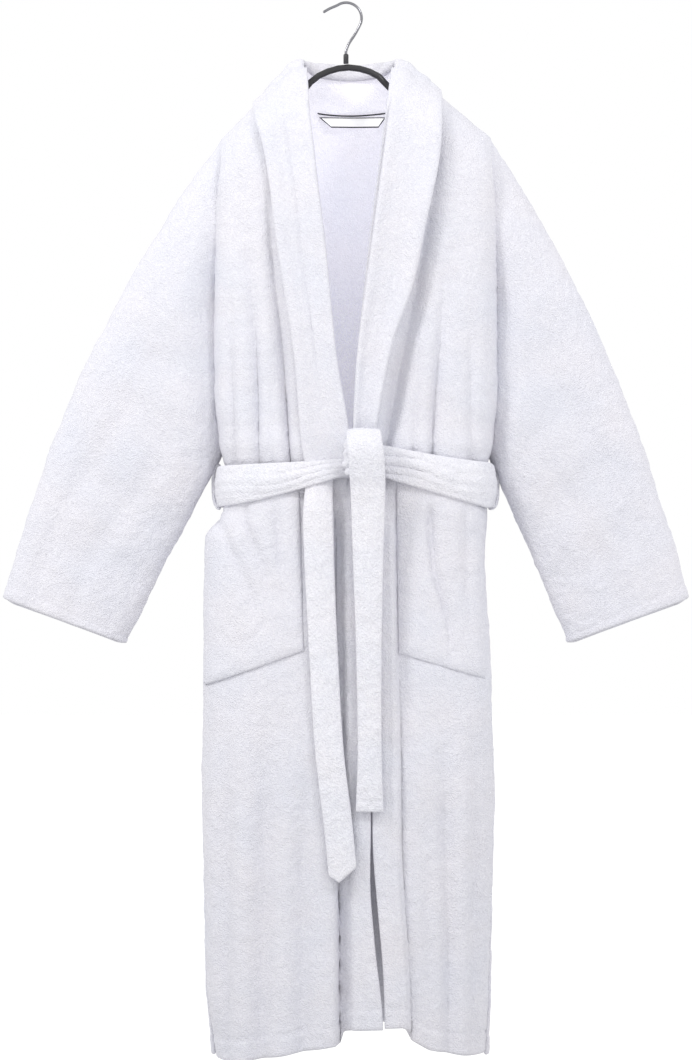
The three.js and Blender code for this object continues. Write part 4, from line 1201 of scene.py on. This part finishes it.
ferrule_low, ferrule_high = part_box("neck_ferrule")
shank = ferrule_high.z / MM
points = [(0, 0, shank - 6), (0, 0, shank), (0.3, 0, shank + 4)]
points += [(HOOK_R * 0.2, 0, shank + 13), (HOOK_R * 0.58, 0, shank + 24)]
points += [bend(d) for d in range(-25, 131, 15)] + [bend(150, HOOK_R * 1.22), bend(166, HOOK_R * 1.52)]
hook = tube("hook_wire", points, WIRE_R, STEEL)
place(hook, "hook", ["hook"])

# the ferrule is turned: its outline from the foot's edge up to the lip, and down into the bore
SIDES = 48
BORE_FLOOR = 8.0
outline = [(2.8, 0.0), (3.15, 0.5), (3.2, 1.2), (3.2, 9.8), (2.95, 11.2), (2.3, 11.9), (1.95, 11.9)]
outline.append((1.95, BORE_FLOOR))
base = ferrule_low.z / MM
turn = np.linspace(0, 2 * np.pi, SIDES, endpoint=False)
rings = [(r * math.cos(t), r * math.sin(t), base + h) for r, h in outline for t in turn]
points = np.array([(0, 0, base)] + rings + [(0, 0, base + BORE_FLOOR)]) * MM
steps = [(k, (k + 1) % SIDES) for k in range(SIDES)]
faces = [[0, 1 + after, 1 + k] for k, after in steps]
for low in range(1, 1 + (len(outline) - 1) * SIDES, SIDES):
    faces += [[low + k, low + after, low + SIDES + after, low + SIDES + k] for k, after in steps]
last = 1 + (len(outline) - 1) * SIDES
faces += [[last + k, last + after, len(points) - 1] for k, after in steps]
ferrule = mesh_object("ferrule_turned", points, faces, HANGER)
place(ferrule, "hanger", ["neck_ferrule"])

# the bar and the wire's head keep their CAD shape
for node, material in (("hanger_bar", HANGER), ("hook_head", STEEL)):
    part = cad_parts[node]
    part.data.materials.clear()
    part.data.materials.append(material)
    for polygon in part.data.polygons:
        polygon.material_index = 0

# ---------------------------------------------------------------- pale studio floor

# Grey under the robe, so that little light comes up from it, and white farther out: the grey is painted shade
# on the floor round the robe. The floor also glows faintly in its own tone.
floor_material, nodes, links, shader = new_material("floor_white")
coord = nodes.new("ShaderNodeTexCoord")
reach = nodes.new("ShaderNodeVectorMath")
reach.operation = "LENGTH"
links.new(coord.outputs["Object"], reach.inputs[0])
pale = nodes.new("ShaderNodeMapRange")
pale.interpolation_type = "SMOOTHSTEP"
pale.inputs["From Min"].default_value = 1.9
pale.inputs["From Max"].default_value = 3.0
pale.inputs["To Min"].default_value = 0.5
links.new(reach.outputs["Value"], pale.inputs["Value"])
tone = nodes.new("ShaderNodeCombineColor")
for channel in ("Red", "Green", "Blue"):
    links.new(pale.outputs["Result"], tone.inputs[channel])
links.new(tone.outputs["Color"], shader.inputs["Base Color"])
links.new(tone.outputs["Color"], shader.inputs["Emission Color"])
shader.inputs["Roughness"].default_value = 1.0
shader.inputs["Specular IOR Level"].default_value = 0.0
shader.inputs["Emission Strength"].default_value = 0.08
FLOOR_Z = -1.75
FLOOR_HALF = 14.0
signs = ((-1, -1), (1, -1), (1, 1), (-1, 1))
floor_points = np.array([(x * FLOOR_HALF, y * FLOOR_HALF, FLOOR_Z) for x, y in signs])
floor = mesh_object("floor", floor_points, [[0, 1, 2, 3]], floor_material)
floor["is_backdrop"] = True


def corners(box):
    return [list(map(float, side)) for side in box]


{"cad": corners(CAD_BOX), "with_pieces": corners(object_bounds())}
